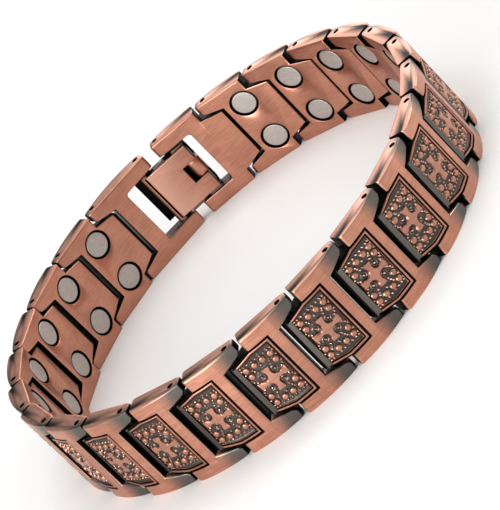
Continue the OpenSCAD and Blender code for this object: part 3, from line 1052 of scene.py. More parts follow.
@dataclass
class Link:
    """An ordinary link: ears, crossbar, shoulders, tongue and the raised plate."""

    chain: ChainSizes = field(default_factory=ChainSizes)
    plate_step: float = 0.085
    plate_rest: float = 0.1
    plate_rows: int = 96
    rim_shares: Pair = (0.35, 0.7)
    magnet_hole_r: float = 2.08
    magnet_hole_depth: float = 1.2
    mouth_flare: float = 0.1
    mouth_share: float = 0.7
    outside_y: float = 3.0
    magnet_x: float = 5.05
    magnet_spacing: float = 7.0

    def relief(self) -> Relief:
        """The relief on this link's plate."""
        return Relief(self.chain)

    def x_lines(self) -> np.ndarray:
        """X of the grid lines: close at edges and steps, and even over the plate.

        Returns:
            X of each line, growing.
        """
        c = self.chain
        s = self.relief().sizes
        end = self.relief().end_x
        tip = -c.ear_reach * np.cos(np.radians(TIP_DEGREES))
        keys = [-c.ear_reach, c.ear_corner - c.ear_reach, 0.0, c.root_x,
                s.plate_x - s.groove_w, s.plate_x, c.shoulder_x, end, c.pitch + c.tongue_reach]
        line = s.plate_x + s.line_at + np.array(THIN_LINES)
        first, last = line[-1] + self.plate_step, end - s.end_border_w - self.plate_rest
        even = np.linspace(first, last, round((last - first) / self.plate_step) + 1)
        others = [tip, line, even, s.plate_x + np.array(BORDER_LINES),
                  end - s.end_border_w + np.array(FAR_BORDER_LINES),
                  c.pitch + c.tongue_reach - np.array(TONGUE_LINES),
                  c.root_x + np.array(ROOT_LINES), s.plate_x + np.array(GROOVE_LINES),
                  c.shoulder_x - np.array(SHOULDER_LINES), np.array(PLAIN_LINES)]
        return spread(keys, [], np.concatenate(others))

    def guide(self, x: np.ndarray) -> np.ndarray:
        """The line that the grid follows: the plate's side, and border_w outside the ears'.

        Args:
            x: X of the points.

        Returns:
            Its distance from the middle of the band.
        """
        c = self.chain
        ear = Outline(c).fork_side(x) + self.relief().sizes.border_w
        share = smooth(x, c.root_x, self.relief().sizes.plate_x)
        return ear * (1 - share) + self.relief().side(x) * share

    def grid(self) -> tuple[np.ndarray, np.ndarray]:
        """X and Z of the grid, with a line on the ears' sides and one on the tongue's.

        Returns:
            X and Z of each grid point.
        """
        c = self.chain
        x1 = self.x_lines()
        rim = c.half_w - corner_cut(x1 + c.ear_reach, c.ear_round)
        z = band_lines(self.guide(x1), rim, GUIDE_LINES, self.plate_rows, self.rim_shares,
                       RIM_LINES)
        return np.repeat(x1[:, None], z.shape[1], 1), z

    def surface(self) -> Surface:
        """The link as one closed slab, before its bores and pockets are cut.

        The upper sheet is the arch plus the relief, less the rounding of the edges. The lower
        sheet is flat, and rises at the ears' barrels, the tongue's rounded end and the edges.

        Returns:
            The slab.
        """
        c = self.chain
        relief = self.relief()
        s = relief.sizes
        outline = Outline(c)
        x, z = self.grid()
        away = np.abs(z)
        xm, zm = cell_middles(x, z)
        guide = self.guide(x[:, 0])
        fork, side = (g[:-1, None] / 2 + g[1:, None] / 2 for g in (guide - s.border_w,
                                                                   guide + s.groove_w))
        keep = ~((xm < c.root_x) & (zm < fork)) & ~((xm > c.shoulder_x) & (zm > side))

        side_x = (guide + s.groove_w)[:, None]
        rim = np.max(away, axis=1, keepdims=True) - away
        root = outline.fork(x, away)
        tongue = outline.tongue(x, away, c.pitch)
        shoulder = outline.shoulder(x, away, c.pitch)
        arch = c.arch(x, c.crest_x)
        barrel = c.tip_round(np.minimum(x, 0), c.ear_reach)
        groove_x = s.plate_x - s.groove_w
        inside = smooth(side_x - away, *s.groove_wall)
        inside = inside * smooth(x - groove_x, *s.groove_start)
        cast = np.where(inside > 0, relief.height(x, z) * inside, 0.0)
        top = np.where(x < 0, np.minimum(arch, barrel), arch) + cast
        low = np.where(x < 0, -barrel, -c.inner_depth)
        corner = rounding([shoulder], c.shoulder_corner)
        end_top, end_low = c.tongue_drops(c.pitch + c.tongue_reach - x)
        top_drop = rounding([rim, root], c.edge_r) + c.shoulder_drop * corner + end_top
        low_drop = rounding([rim, root, tongue], c.edge_r) + corner + end_low
        top, low = sheets(top, low, top_drop, low_drop)
        return slab(x, z + c.half_w, top, low, keep)

    def pocket(self, side: int) -> Surface:
        """The blind pocket for one magnet, with a flare at its mouth.

        Past the mouth it widens at 45 degrees, down to the depth outside_y below the pins.

        Args:
            side: -1 or 1.

        Returns:
            The cutter.
        """
        c = self.chain
        r, flare, mouth = self.magnet_hole_r, self.mouth_flare, -c.inner_depth
        deep, outside = self.magnet_hole_depth + mouth, -self.outside_y
        profile = [(0, outside), (r + flare + mouth - outside, outside), (r + flare, mouth),
                   (r + 0.3 * flare, mouth + 0.5 * flare), (r, mouth + flare), (r, deep),
                   (0, deep)]
        place = Vector((self.magnet_x, 0, c.half_w + side * self.magnet_spacing / 2))
        return turned(np.array(profile), ROUND_STEPS).moved(Matrix.Translation(place))

    def mesh(self) -> bpy.types.Mesh:
        """The finished mesh of one link in its own frame, in millimetres."""
        bores = [bore(self.chain, x) for x in (0.0, self.chain.pitch)]
        return carved("link", self.surface(), [self.pocket(1), self.pocket(-1), *bores])

    def walls(self, x: np.ndarray, away: np.ndarray) -> np.ndarray:
        """How far a point lies from the edges of the opening, the shoulders and the tongue.

        Args:
            x: X of the points.
            away: their distance from the middle of the band.

        Returns:
            The distance from the nearest edge.
        """
        c = self.chain
        outline = Outline(c)
        edges = [outline.fork(x + CAD_MERGE_MM, away), outline.shoulder(x, away, c.pitch),
                 outline.tongue(x, away, c.pitch)]
        nearest = np.min(np.abs(edges), axis=0)
        return np.minimum(nearest, c.pitch + c.tongue_reach - x)

    def body_grey(self, x: np.ndarray, y: np.ndarray, away: np.ndarray,
                  side: np.ndarray) -> np.ndarray:
        """Where the link is grey beside its relief: the ears, their root and the tongue's end.

        Args:
            x: X of the points.
            y: Y of the points.
            away: their distance from the middle of the band.
            side: half the tongue's width at each.

        Returns:
            The mask.
        """
        c, t = self.chain, PatinaAndPaintedLight(self.chain)
        past_root = x - c.root_x
        root = t.root_grey * (1 - smooth(past_root, 0.0, t.root_over)) * (away < side)
        ears = np.maximum(t.ears(x), root * (past_root > 0))
        end = smooth(x - self.relief().end_x, *t.tongue_end) * (away < side + SLACK_MM)
        ears = ears * smooth(y - c.arch(x, c.crest_x), *t.outer_face)
        return np.maximum(ears, end * (y > t.inner_y))

    def masks(self, points: np.ndarray) -> dict[str, np.ndarray]:
        """Where a link is dark, grey and bright.

        grey is 1 at the ears' tips, on the plate's ground and at the tongue's end. dark grows
        with the depth below the arched face inside the plate, and is 1 in gaps, bores and
        pockets, where it is painted shade, as it is beside the gaps on the inner side. The bright
        mask is 1 on the small beads' tops, a painted highlight, and most along the rim, where it
        is wear with a painted highlight, and a weaker painted highlight beside the gaps.

        Args:
            points: the link's points in its own frame.

        Returns:
            The three masks by name.
        """
        c, t, relief = self.chain, PatinaAndPaintedLight(self.chain), self.relief()
        s = relief.sizes
        x, y, z = points.T
        z = z - c.half_w
        away = np.abs(z)
        side = relief.side(x) + s.groove_w
        below = np.clip(c.arch(x, c.crest_x) - y, 0, 1)
        inset = relief.inset(x, z)
        on_plate = (x > s.plate_x - s.groove_w - t.before_plate) & (x < relief.end_x + SLACK_MM)
        on_plate &= (away < side + t.beside_plate) & (y > t.inner_y)
        ground = on_plate & (inset > s.border_w)
        border = on_plate & ~ground & (inset > 0)

        grey = self.body_grey(x, y, away, side)
        grey = np.where(ground, np.maximum(grey, smooth(below, *t.ground_grey)), grey)
        grey = np.where(border, np.maximum(grey, t.border_grey), grey)
        raised = ground & (below < t.raised_depth)
        grey = np.where(raised, np.maximum(grey, t.raised_grey), grey)

        line = 1 - np.abs(inset - s.border_w - t.outline_at) / t.outline_half
        dark = np.maximum(t.ground_most * smooth(below, *t.ground_dark),
                          np.clip(t.outline_gain * line, 0, t.outline_most))
        dark = np.where(ground, dark, 0.0)
        dark = np.where(on_plate & (inset < 0), smooth(below, *t.groove_dark), dark)
        walls = self.walls(x, away)
        # The walls of the gaps are painted black: painted shade between the links.
        dark = np.where(walls < WALL_MM, 1.0, dark)
        # Painted shade on the inner face beside the gaps and under the tongue's rounded end.
        under_end = c.pitch + c.tongue_reach - c.under_share * c.tongue_under_r - x
        off_flat = (away < side + SLACK_MM) & (y > CAD_MERGE_MM - c.inner_depth)
        seam = np.minimum(walls, np.where(off_flat, np.maximum(under_end, 0), 1.0))
        dark = np.maximum(np.maximum(dark, t.seams(y, seam)), t.tips(x))

        # Painted highlight on the tops of the small beads and the rosettes' middles.
        pearls = on_plate & relief.on_pearl(x, z)
        # The pocket's mouth and the bores are painted dark: painted shade in the holes.
        pocket = np.hypot(x - self.magnet_x, away - self.magnet_spacing / 2)
        mouth = self.magnet_hole_r + self.mouth_share * self.mouth_flare
        hollow = (pocket < mouth) & (y > WALL_MM - c.inner_depth) & (y < 0)
        dark = np.where(pearls, 0.0, dark)
        return {"grey": np.where(pearls, 0.0, grey),
                "dark": np.where(hollow | c.in_bore(points, c.pitch), 1.0, dark),
                "wear_and_highlight": np.where(pearls, 1.0, t.wear_and_highlight(away, y, walls))}


def bore(chain: ChainSizes, x: float) -> Surface:
    """A bore across the whole band at x, as a closed cylinder.

    Args:
        chain: the chain's sizes.
        x: X of its axis.

    Returns:
        The cutter.
    """
    r, rim, start, end = chain.bore_r, chain.bore_rim, -BEYOND_MM, chain.band_w + BEYOND_MM
    profile = np.array([(0, start), (r, start), (r, rim), (r, chain.band_w - rim), (r, end),
                        (0, end)])
    upright = Matrix.Rotation(math.pi / 2, 4, "X")
    return turned(profile, BORE_STEPS).moved(Matrix.Translation((x, 0, 0)) @ upright)


class EndKind(Enum):
    """The two end links, each named for its side of the clasp as one looks from inside."""

    LEFT = "left_end_link"
    RIGHT = "right_end_link"


@dataclass
class EndLink:
    """A plain end link with an open slot between two prongs for the clasp."""

    chain: ChainSizes
    kind: EndKind
    rows: int = 12
    rim_shares: tuple[float, ...] = (0.5,)
    plain_step: float = 0.45
    plain_ends: Pair = (0.5, 0.4)

    @property
    def pitch(self) -> float:
        """Distance between its two pins."""
        left = self.kind is EndKind.LEFT
        return self.chain.left_end_pitch if left else self.chain.right_end_pitch

    @property
    def ends(self) -> Pair:
        """X of both ends."""
        c = self.chain
        if self.kind is EndKind.LEFT:
            return -c.ear_reach, self.pitch + c.prong_reach
        return -c.prong_reach, self.pitch + c.tongue_reach

    def into_slot(self, x: np.ndarray) -> np.ndarray:
        """Distance into the slot from its closed end."""
        if self.kind is EndKind.LEFT:
            return x - (self.pitch - self.chain.slot_reach)
        return self.chain.slot_reach - x

    def guide(self, x: np.ndarray) -> np.ndarray:
        """The line that the grid follows: the slot's side, and the ears' or the tongue's.

        Args:
            x: X of the points.

        Returns:
            Its distance from the middle of the band.
        """
        c = self.chain
        slot = Outline(c).slot_side(self.into_slot(x), c.slot_reach + c.prong_reach)
        if self.kind is EndKind.LEFT:
            share = smooth(x, c.root_x, self.pitch - c.slot_reach)
            return Outline(c).fork_side(x) * (1 - share) + slot * share
        shoulder = self.pitch - c.root_x
        share = smooth(x, c.slot_reach, shoulder)
        return slot * (1 - share) + c.tongue_side(x, self.pitch) * share

    def x_lines(self) -> np.ndarray:
        """X of the grid lines: close at the edges and round corners, wide in between.

        Returns:
            X of each line, growing.
        """
        c = self.chain
        low, high = self.ends
        arc = c.slot_corner_r - np.sin(np.radians(SLOT_DEGREES)) * c.slot_corner_r
        barrel = c.inner_depth * (1 - np.cos(np.radians(TIP_DEGREES[1:])))
        first, last = self.plain_ends
        plain = np.arange(low + first, high - last, self.plain_step)
        if self.kind is EndKind.LEFT:
            slot = self.pitch - c.slot_reach
            keys = [low, c.ear_corner + low, 0.0, c.root_x, slot, high]
            others = [slot + arc, low + barrel, high - barrel, plain]
        else:
            shoulder = self.pitch - c.root_x
            bevel = high - c.tongue_bevel
            keys = [low, c.slot_reach, shoulder, bevel, high]
            others = [c.slot_reach - arc, low + barrel, shoulder - np.array(END_SHOULDER_LINES),
                      high - np.array(END_TONGUE_LINES), plain]
        return spread(keys, AROUND_EDGE, np.concatenate(others))

    def surface(self) -> Surface:
        """The end link as one closed slab: the arch above, the flat inner face below.

        The ears' tips and the prongs' tips are round in side view. Every edge is rounded.

        Returns:
            The slab.
        """
        c = self.chain
        low_x, high_x = self.ends
        outline = Outline(c)
        x1 = self.x_lines()
        left = self.kind is EndKind.LEFT
        rim = c.half_w - corner_cut(x1 - low_x, c.ear_round if left else c.prong_corner)
        rim = rim - (corner_cut(high_x - x1, c.prong_corner) if left else 0)
        guide = self.guide(x1)
        z = band_lines(guide, rim, END_GUIDE_LINES, self.rows, self.rim_shares, RIM_LINES)
        x = np.repeat(x1[:, None], z.shape[1], 1)
        away = np.abs(z)
        xm, zm = cell_middles(x, z)
        side = guide[:-1, None] / 2 + guide[1:, None] / 2
        shoulder_x = self.pitch - c.root_x
        keep = ~((self.into_slot(xm) > 0) & (zm < side))
        keep &= ~((xm < c.root_x) & (zm < side)) if left else ~((xm > shoulder_x) & (zm > side))

        edges = [np.max(away, axis=1, keepdims=True) - away,
                 outline.slot(self.into_slot(x), away)]
        crest = self.pitch / 2 if left else c.crest_x
        tip_x = high_x - c.inner_depth if left else low_x + c.inner_depth
        prong = np.maximum(x - tip_x, 0) if left else np.minimum(x - tip_x, 0)
        ear = np.minimum(x, 0) if left else np.zeros_like(x)
        round_in = prong + ear
        barrel = np.minimum(c.tip_round(prong, c.inner_depth), c.tip_round(ear, c.ear_reach))
        top = c.arch(x, crest)
        top = np.where(round_in == 0, top, np.minimum(top, barrel))
        low = np.where(round_in == 0, -c.inner_depth, -barrel)
        top_drop, low_drop = 0.0, 0.0
        if left:
            edges.append(outline.fork(x, away))
        else:
            corner = rounding([outline.shoulder(x, away, self.pitch)], c.shoulder_corner)
            end_top, end_low = c.tongue_drops(high_x - x)
            top_drop, low_drop = c.shoulder_drop * corner + end_top, corner + end_low
            edges.append(outline.tongue(x, away, self.pitch))
        drop = rounding([np.maximum(e, 0) for e in edges], c.edge_r)
        top, low = sheets(top, low, top_drop + drop, low_drop + drop)
        return slab(x, z + c.half_w, top, low, keep)

    def mesh(self) -> bpy.types.Mesh:
        """The finished mesh in its own frame, in millimetres."""
        bores = [bore(self.chain, x) for x in (0.0, self.pitch)]
        return carved(self.kind.value, self.surface(), bores)

    def masks(self, points: np.ndarray) -> dict[str, np.ndarray]:
        """Where it is grey, dark and bright.

        grey is the slot's wall, as painted shade, and the ears' tips and the tongue's end. dark
        is
        1 in gaps and bores, and less in the slot and beside gaps, all of it painted shade, and
        less at the ears' tips. The bright mask is wear and a painted highlight on the rim, and a
        painted highlight beside gaps.

        Args:
            points: its points in its own frame.

        Returns:
            The three masks by name.
        """
        c, t, outline = self.chain, PatinaAndPaintedLight(self.chain), Outline(self.chain)
        x, y, z = points.T
        away = np.abs(z - c.half_w)
        into = self.into_slot(x)
        # The slot's wall gets painted shade: grey and half dark.
        wall = (outline.slot(into, away) < t.slot_wall) & (into > -t.slot_behind)
        wall &= y > t.slot_above - c.inner_depth
        if self.kind is EndKind.LEFT:
            end = t.ears(x) * smooth(y - c.arch(x, self.pitch / 2), *t.end_outer_face)
            gap = np.abs(outline.fork(x + CAD_MERGE_MM, away))
            seam, dark = gap, t.tips(x)
        else:
            to_end = self.ends[1] - x
            end = smooth(c.tongue_bevel - to_end, *t.end_tongue) * (y > t.inner_y)
            gap = np.minimum(np.abs(outline.tongue(x, away, self.pitch)),
                             np.abs(outline.shoulder(x, away, self.pitch)))
            gap = np.minimum(gap, to_end)
            under_end = np.maximum(to_end - c.under_share * c.tongue_under_r, 0)
            on_flat = y < CAD_MERGE_MM - c.inner_depth
            seam, dark = np.where(on_flat, gap, np.minimum(gap, under_end)), 0.0
        # The walls of gaps and the bores are painted dark, and the slot half dark: painted shade.
        dark = np.where(gap < WALL_MM, 1.0, np.where(wall, t.slot_dark, dark))
        dark = np.where(c.in_bore(points, self.pitch), 1.0, dark)
        return {"grey": np.maximum(np.where(wall, t.slot_grey, 0.0), end),
                "dark": np.maximum(dark, t.seams(y, seam)),
                "wear_and_highlight": t.wear_and_highlight(away, y, gap)}


@dataclass
class Magnets:
    """The two round magnets in a link's inner face."""

    link: Link
    radius: float = 1.8
    thickness: float = 1.0
    recess: float = 0.15
    edge_r: float = 0.12
    dome: float = 0.02

    def mesh(self) -> bpy.types.Mesh:
        """Both discs: a profile with a rounded edge, turned about the pocket's axis.

        The face is very slightly domed, by the square of the distance from its middle.

        Returns:
            The mesh, in millimetres.
        """
        c = self.link.chain
        low = -c.inner_depth + self.recess
        angle = np.radians([90, 72, 54, 36, 18, 0])
        edge_r = self.radius - self.edge_r + self.edge_r * np.cos(angle)
        edge_y = low + self.edge_r - self.edge_r * np.sin(angle)
        face_r = np.array([0, 0.25, 0.5, 0.75]) * self.radius
        face_y = low - self.dome * (1 - (face_r / self.radius) ** 2)
        r = np.concatenate([face_r, edge_r, [self.radius, 0]])
        y = np.concatenate([face_y, edge_y, [low + self.thickness] * 2])
        disc = turned(np.stack([r, y], -1), ROUND_STEPS)
        half = self.link.magnet_spacing / 2
        places = [Vector((self.link.magnet_x, 0, c.half_w + side * half)) for side in (1, -1)]
        discs = [disc.moved(Matrix.Translation(place)) for place in places]
        return as_mesh("magnets", Surface.joined(discs))


@dataclass
class Rod:
    """A pin or a bar: a round rod with slightly domed, bevelled ends."""

    radius: float
    low: float
    high: float
    bevel: float = 0.1
    dome: float = 0.04

    def surface(self, place: Matrix) -> Surface:
        """The rod along Z at a place: a profile of two domes and two bevels, turned.

        Args:
            place: where its axis lies.

        Returns:
            Its surface.
        """
        share = np.array([0, 0.5, 0.85])
        r = share * (self.radius - self.bevel)
        y = self.dome * (1 - share**2)
        bevel_r = self.radius - self.bevel * np.array([1, 0.4, 0])
        bevel_y = self.bevel * np.array([0, 0.25, 1]) + self.dome * 0.2
        low_r, low_y = np.concatenate([r, bevel_r]), np.concatenate([self.dome - y, bevel_y])
        low = np.stack([low_r, low_y + self.low], -1)
        high = (low * np.array([1, -1]) + np.array([0, self.low + self.high]))[::-1]
        upright = place @ Matrix.Rotation(math.pi / 2, 4, "X")
        return turned(np.concatenate([low, high]), ROD_STEPS).moved(upright)


# How far from the band's edges a rod is fully dark, a painted shade in its bore, and where it is
# dark no longer.
ROD_DARK = (0.9, 1.4)


def rod_masks(points: np.ndarray, chain: ChainSizes) -> dict[str, np.ndarray]:
    """The place of a rod's points, and a dark mask at its ends inside the band's edges: painted
    shade in the bores.
    """
    from_end = np.minimum(points[:, 2], chain.band_w - points[:, 2])
    return {"place": points, "dark": 1 - smooth(from_end, *ROD_DARK)}


@dataclass
class ClaspSizes:
    """Sizes of the clasp, in the frame of its hinge bar, in millimetres."""

    pin_x: float = 6.02
    pin_in: float = 0.7
    pin_r: float = 0.4
    barrel_r: float = 0.8
    plate_offset: float = 0.75
    plate_t: float = 0.6
    plate_end: float = 0.65
    plate_h: float = 8.4
    barrel_h: float = 6.4
    notch_h: float = 3.0
    notch_len: float = 1.85
    edge_r: float = 0.12

    @property
    def length(self) -> float:
        """Distance between the blade's two pins."""
        return math.hypot(self.pin_x, self.pin_in)

    @property
    def tilt(self) -> float:
        """How far the blade leans inwards from the line through the bars."""
        return math.atan2(self.pin_in, self.pin_x)


@dataclass
class Blade:
    """The clasp's blade: a flat plate with a barrel at each end and a notch."""

    chain: ChainSizes
    sizes: ClaspSizes = field(default_factory=ClaspSizes)
    side_grey: float = 0.9
    face_grey: float = 0.12
    fade: float = 0.1

    def surface(self) -> Surface:
        """The blade as one closed slab in its own frame, X from its hinge to the lever's pin.

        The upper sheet is the plate's outer face, raised to a circle round each pin as far as
        the barrels reach. The lower sheet is the flat inner face with rounded edges.

        Returns:
            The slab.
        """
        c, s = self.chain, self.sizes
        low_x, high_x = -s.plate_end, s.length + s.plate_end
        notch_x = s.length - s.notch_len
        barrel = np.array(BARREL_LINES)
        keys = [low_x, s.plate_end, notch_x, s.length - s.plate_end, high_x]
        others = np.concatenate([barrel, s.length + barrel, BLADE_PLAIN_X])
        x1 = spread(keys, AROUND_BLADE, others)
        edges = np.array([s.notch_h / 2, s.barrel_h / 2, s.plate_h / 2])
        half = spread([0, *edges], AROUND_BLADE, BLADE_PLAIN_Z)
        z1 = np.concatenate([-half[:0:-1], half])
        x, z = np.meshgrid(x1, z1, indexing="ij")
        away = np.abs(z)
        xm, zm = cell_middles(x, z)
        keep = ~((xm > notch_x) & (zm < edges[0]))
        beside, before = away - edges[0], notch_x - x
        corner = np.where(beside < 0, before, np.hypot(before, beside))
        notch = np.where(before < 0, beside, corner)
        border = [edges[2] - away, x - low_x, high_x - x, np.maximum(notch, 0)]
        drop = rounding(border, s.edge_r)
        from_pin = np.minimum(np.abs(x), np.abs(x - s.length))
        circle = np.sqrt(np.maximum(s.barrel_r**2 - from_pin**2, 0))
        raised = smooth(edges[1] + WALL_MM - away, -WALL_MM, WALL_MM)
        raised = raised * (from_pin <= s.plate_end + LINE_MM)
        top = raised * (circle + s.plate_offset) - s.plate_offset
        low = np.full_like(x, -s.plate_offset - s.plate_t)
        top, low = sheets(top, low, drop, drop)
        return slab(x, z + c.half_w, top, low, keep)

    def mesh(self) -> bpy.types.Mesh:
        """The finished mesh in its own frame, in millimetres."""
        bores = [bore(self.chain, x) for x in (0.0, self.sizes.length)]
        return carved("blade", self.surface(), bores)

    def masks(self, points: np.ndarray) -> dict[str, np.ndarray]:
        """Where the blade is grey, dark and bright.

        Its walls are grey, its end at the lever's pin is dark as painted shade, and its inner
        face's edge at the hinge is bright as a painted highlight.

        Args:
            points: its points in its own frame.

        Returns:
            The three masks by name.
        """
        s = self.sizes
        x, y, z = points.T
        away = np.abs(z - self.chain.half_w)
        inner = -s.plate_offset - s.plate_t
        grey = np.where(y > inner + s.edge_r + SLACK_MM, self.side_grey, self.face_grey)
        # Painted highlight on the inner edge at the hinge.
        wear_and_highlight = 1 - smooth(x + s.plate_end, s.edge_r, s.edge_r + self.fade)
        # Painted shade at the end by the lever's pin.
        dark = smooth(x - s.length - s.plate_end, -2 * self.fade, 0)
        return {"grey": grey, "dark": dark, "wear_and_highlight": wear_and_highlight * (y < inner + 2 * self.fade)}


@dataclass
class Lever:
    """The clasp's lever: the CAD form, reshaped a little, with swing rooms and rounded edges.

    Its lip is the end beyond the hinge bar, its tail the other end, its knuckle the round part
    between the blade's barrels, and its foot the bright inner edge at both ends. Heights are Y
    in the clasp's frame, and half widths are from the middle of the band.
    """

    chain: ChainSizes
    edge_r: float = 0.07
    face_half: float = 3.7
    face_y: float = 0.95
    face_rim: float = 0.12
    longer_lip: float = 0.4
    longer_tail: float = 0.45
    wider_knuckle: float = 1.25
    end_wall_x: float = 6.66
    end_wall_low: float = -0.08
    room_from: float = 1.42
    room_to: float = 4.25
    room_deep: float = 3.0
    lip_x: float = -2.25
    tail_x: float = 6.5
    tail_y: float = 0.8
    knuckle_half: float = 1.4
    knuckle_ring: Pair = (0.9, 1.1)
    foot_x: float = -0.95
    foot_y: float = -1.05
    end_foot_x: float = 4.9
    under_lip_x: float = -1.55
    under_lip_y: float = 1.0
    under_face_y: float = 0.5
    under_face_half: float = 4.2
    end_dark_x: float = 6.6
    end_dark_half: float = 4.4
    grey: float = 0.9
    rim_bright: float = 0.8

    def swing_room(self, side: int) -> Surface:
        """The room below the end wall that the blade's plate needs when the lever is open.

        It is a box on one side of the blade's notch that reaches from beyond the end wall's
        inner edge to end_wall_low.

        Args:
            side: -1 or 1.

        Returns:
            The cutter.
        """
        x = np.array([self.end_wall_x, self.end_wall_x + 1])
        z = self.chain.half_w + np.sort(side * np.array([self.room_from, self.room_to]))
        x, z = np.meshgrid(x, z, indexing="ij")
        top = np.full_like(x, self.end_wall_low)
        return slab(x, z, top, top - self.room_deep, np.ones((1, 1), dtype=bool))

    def reshaped(self, points: np.ndarray) -> np.ndarray:
        """The CAD form with a longer lip, a longer tail and a wider knuckle.

        The lip's end moves out by longer_lip and the outer plate's other end by longer_tail.
        The knuckle's round side that faces the blade's notch is stretched along X from its pin.

        Args:
            points: the form's points in the clasp's frame.

        Returns:
            The moved points.
        """
        sizes = ClaspSizes()
        x, y, z = points.T.copy()
        away = np.abs(z - self.chain.half_w)
        from_pin = np.hypot(x - sizes.pin_x, y + sizes.pin_in)
        near, far = self.knuckle_ring
        knuckle = (from_pin > near) & (from_pin < far)
        knuckle &= (away < self.knuckle_half) & (x < sizes.pin_x)
        x = np.where(x < self.lip_x, x - self.longer_lip, x)
        x = np.where((x > self.tail_x) & (y > self.tail_y), x + self.longer_tail, x)
        x = np.where(knuckle, sizes.pin_x + (x - sizes.pin_x) * self.wider_knuckle, x)
        return np.stack([x, y, z], -1)

    def mesh(self, node: bpy.types.Object, place: Matrix) -> bpy.types.Mesh:
        """A merged copy of the node's mesh, in the clasp's frame, with bevelled edges.

        It is reshaped, and the two swing rooms are cut out of it before the bevel.

        Args:
            node: the lever's CAD node.
            place: where the clasp's frame lies.

        Returns:
            The mesh in millimetres.
        """
        mesh = node.data.copy()
        points = transformed(coordinates(mesh) / MM, place.inverted())
        mesh.vertices.foreach_set("co", points.ravel())
        with edited(mesh) as bm:
            bmesh.ops.remove_doubles(bm, verts=bm.verts, dist=CAD_MERGE_MM)
        mesh.vertices.foreach_set("co", self.reshaped(coordinates(mesh)).ravel())
        mesh = cut(mesh, [self.swing_room(side) for side in (-1, 1)])
        with edited(mesh) as bm:
            bmesh.ops.remove_doubles(bm, verts=bm.verts, dist=CAD_MERGE_MM)
            bmesh.ops.dissolve_limit(bm, angle_limit=CAD_FLAT_ANGLE, verts=bm.verts,
                                     edges=bm.edges)
            sharp = [e for e in bm.edges if e.is_manifold and e.calc_face_angle() > SHARP_ANGLE]
            bmesh.ops.bevel(bm, geom=sharp, offset=self.edge_r, segments=2, profile=0.5,
                            affect="EDGES", clamp_overlap=True)
        return mesh

    def masks(self, points: np.ndarray) -> dict[str, np.ndarray]:
        """Where the lever is grey, dark and bright.

        Its outer face and its foot are copper, its walls are grey, and the undersides of its
        lip, face and end wall are dark as painted shade.

        Args:
            points: its points in the clasp's frame.

        Returns:
            The three masks by name.
        """
        x, y, z = points.T
        away = np.abs(z - self.chain.half_w)
        outer = (y > self.face_y) & (away < self.face_half)
        foot = (y < self.foot_y) & (x < self.foot_x)
        foot |= (x > self.end_foot_x) & (away < self.knuckle_half)
        # Painted shade under the lip and the face and on the end wall.
        under = y < self.under_lip_y
        face = under & (y > self.under_face_y) & (away < self.under_face_half)
        wall = (x > self.end_dark_x) & (away < self.end_dark_half) & (away > self.knuckle_half)
        dark = (under & (x < self.under_lip_x)) | face | wall
        rim = outer & (away > self.face_half - self.face_rim)
        return {"grey": np.where(outer | foot, 0.0, self.grey),
                "dark": np.where(dark, 1.0, 0.0),
                "wear_and_highlight": np.where(rim, self.rim_bright, 0.0)}


def dress(piece: EndLink | Blade | Lever, mesh: bpy.types.Mesh,
          grain: np.ndarray | float) -> None:
    """Stores a piece's masks in its mesh, and its place moved by grain."""
    points = coordinates(mesh)
    set_masks(mesh, piece.masks(points) | {"place": points + grain})


class NodeTree:
    """A short way to place shader nodes and link them."""

    def __init__(self, tree: bpy.types.NodeTree) -> None:
        """Starts with an empty tree."""
        self.tree = tree
        tree.nodes.clear()

    def add(self, kind: str, inputs: dict[str, object] | None = None,
            **settings: object) -> bpy.types.Node:
        """Adds a node.

        Args:
            kind: the node's type.
            inputs: values or sockets for its inputs, by name or number.
            settings: the node's own properties.

        Returns:
            The node.
        """
        node = self.tree.nodes.new(kind)
        for name, value in settings.items():
            setattr(node, name, value)
        for name, value in (inputs or {}).items():
            socket = node.inputs[name]
            if isinstance(value, bpy.types.NodeSocket):
                self.tree.links.new(value, socket)
            else:
                socket.default_value = value
        return node

    def math(self, operation: str, *values: object, clamp: bool = False) -> bpy.types.NodeSocket:
        """The result of a Math node."""
        node = self.add("ShaderNodeMath", dict(enumerate(values)), operation=operation,
                        use_clamp=clamp)
        return node.outputs[0]

    def mix(self, factor: object, a: object, b: object) -> bpy.types.NodeSocket:
        """A mix of two colours."""
        node = self.add("ShaderNodeMix", {0: factor, 6: a, 7: b}, data_type="RGBA")
        return node.outputs[2]

    def blend(self, a: object, a_share: float, b: object, b_share: float) -> bpy.types.NodeSocket:
        """The sum of two values, each times its share."""
        return self.math("ADD", self.math("MULTIPLY", a, a_share),
                         self.math("MULTIPLY", b, b_share))

    def noise(self, vector: object, noise: Noise) -> bpy.types.NodeSocket:
        """The value of a Noise Texture."""
        inputs = {"Vector": vector, "Scale": noise.scale, "Detail": noise.detail,
                  "Roughness": noise.rough}
        return self.add("ShaderNodeTexNoise", inputs).outputs[0]

    def ramp(self, value: object, low: float, high: float) -> bpy.types.NodeSocket:
        """A smooth step of a value between low and high."""
        inputs = {0: value, 1: low, 2: high, 3: 0.0, 4: 1.0}
        return self.add("ShaderNodeMapRange", inputs, interpolation_type="SMOOTHSTEP").outputs[0]

    def scaled(self, vector: object, scale: Triple) -> bpy.types.NodeSocket:
        """A vector scaled along its own axes."""
        return self.add("ShaderNodeMapping", {"Vector": vector, "Scale": scale}).outputs[0]

    def bump(self, height: object, strength: float) -> bpy.types.NodeSocket:
        """A normal from a height, whose marks are BUMP_M deep."""
        inputs = {"Strength": strength, "Distance": BUMP_M, "Height": height}
        return self.add("ShaderNodeBump", inputs).outputs[0]


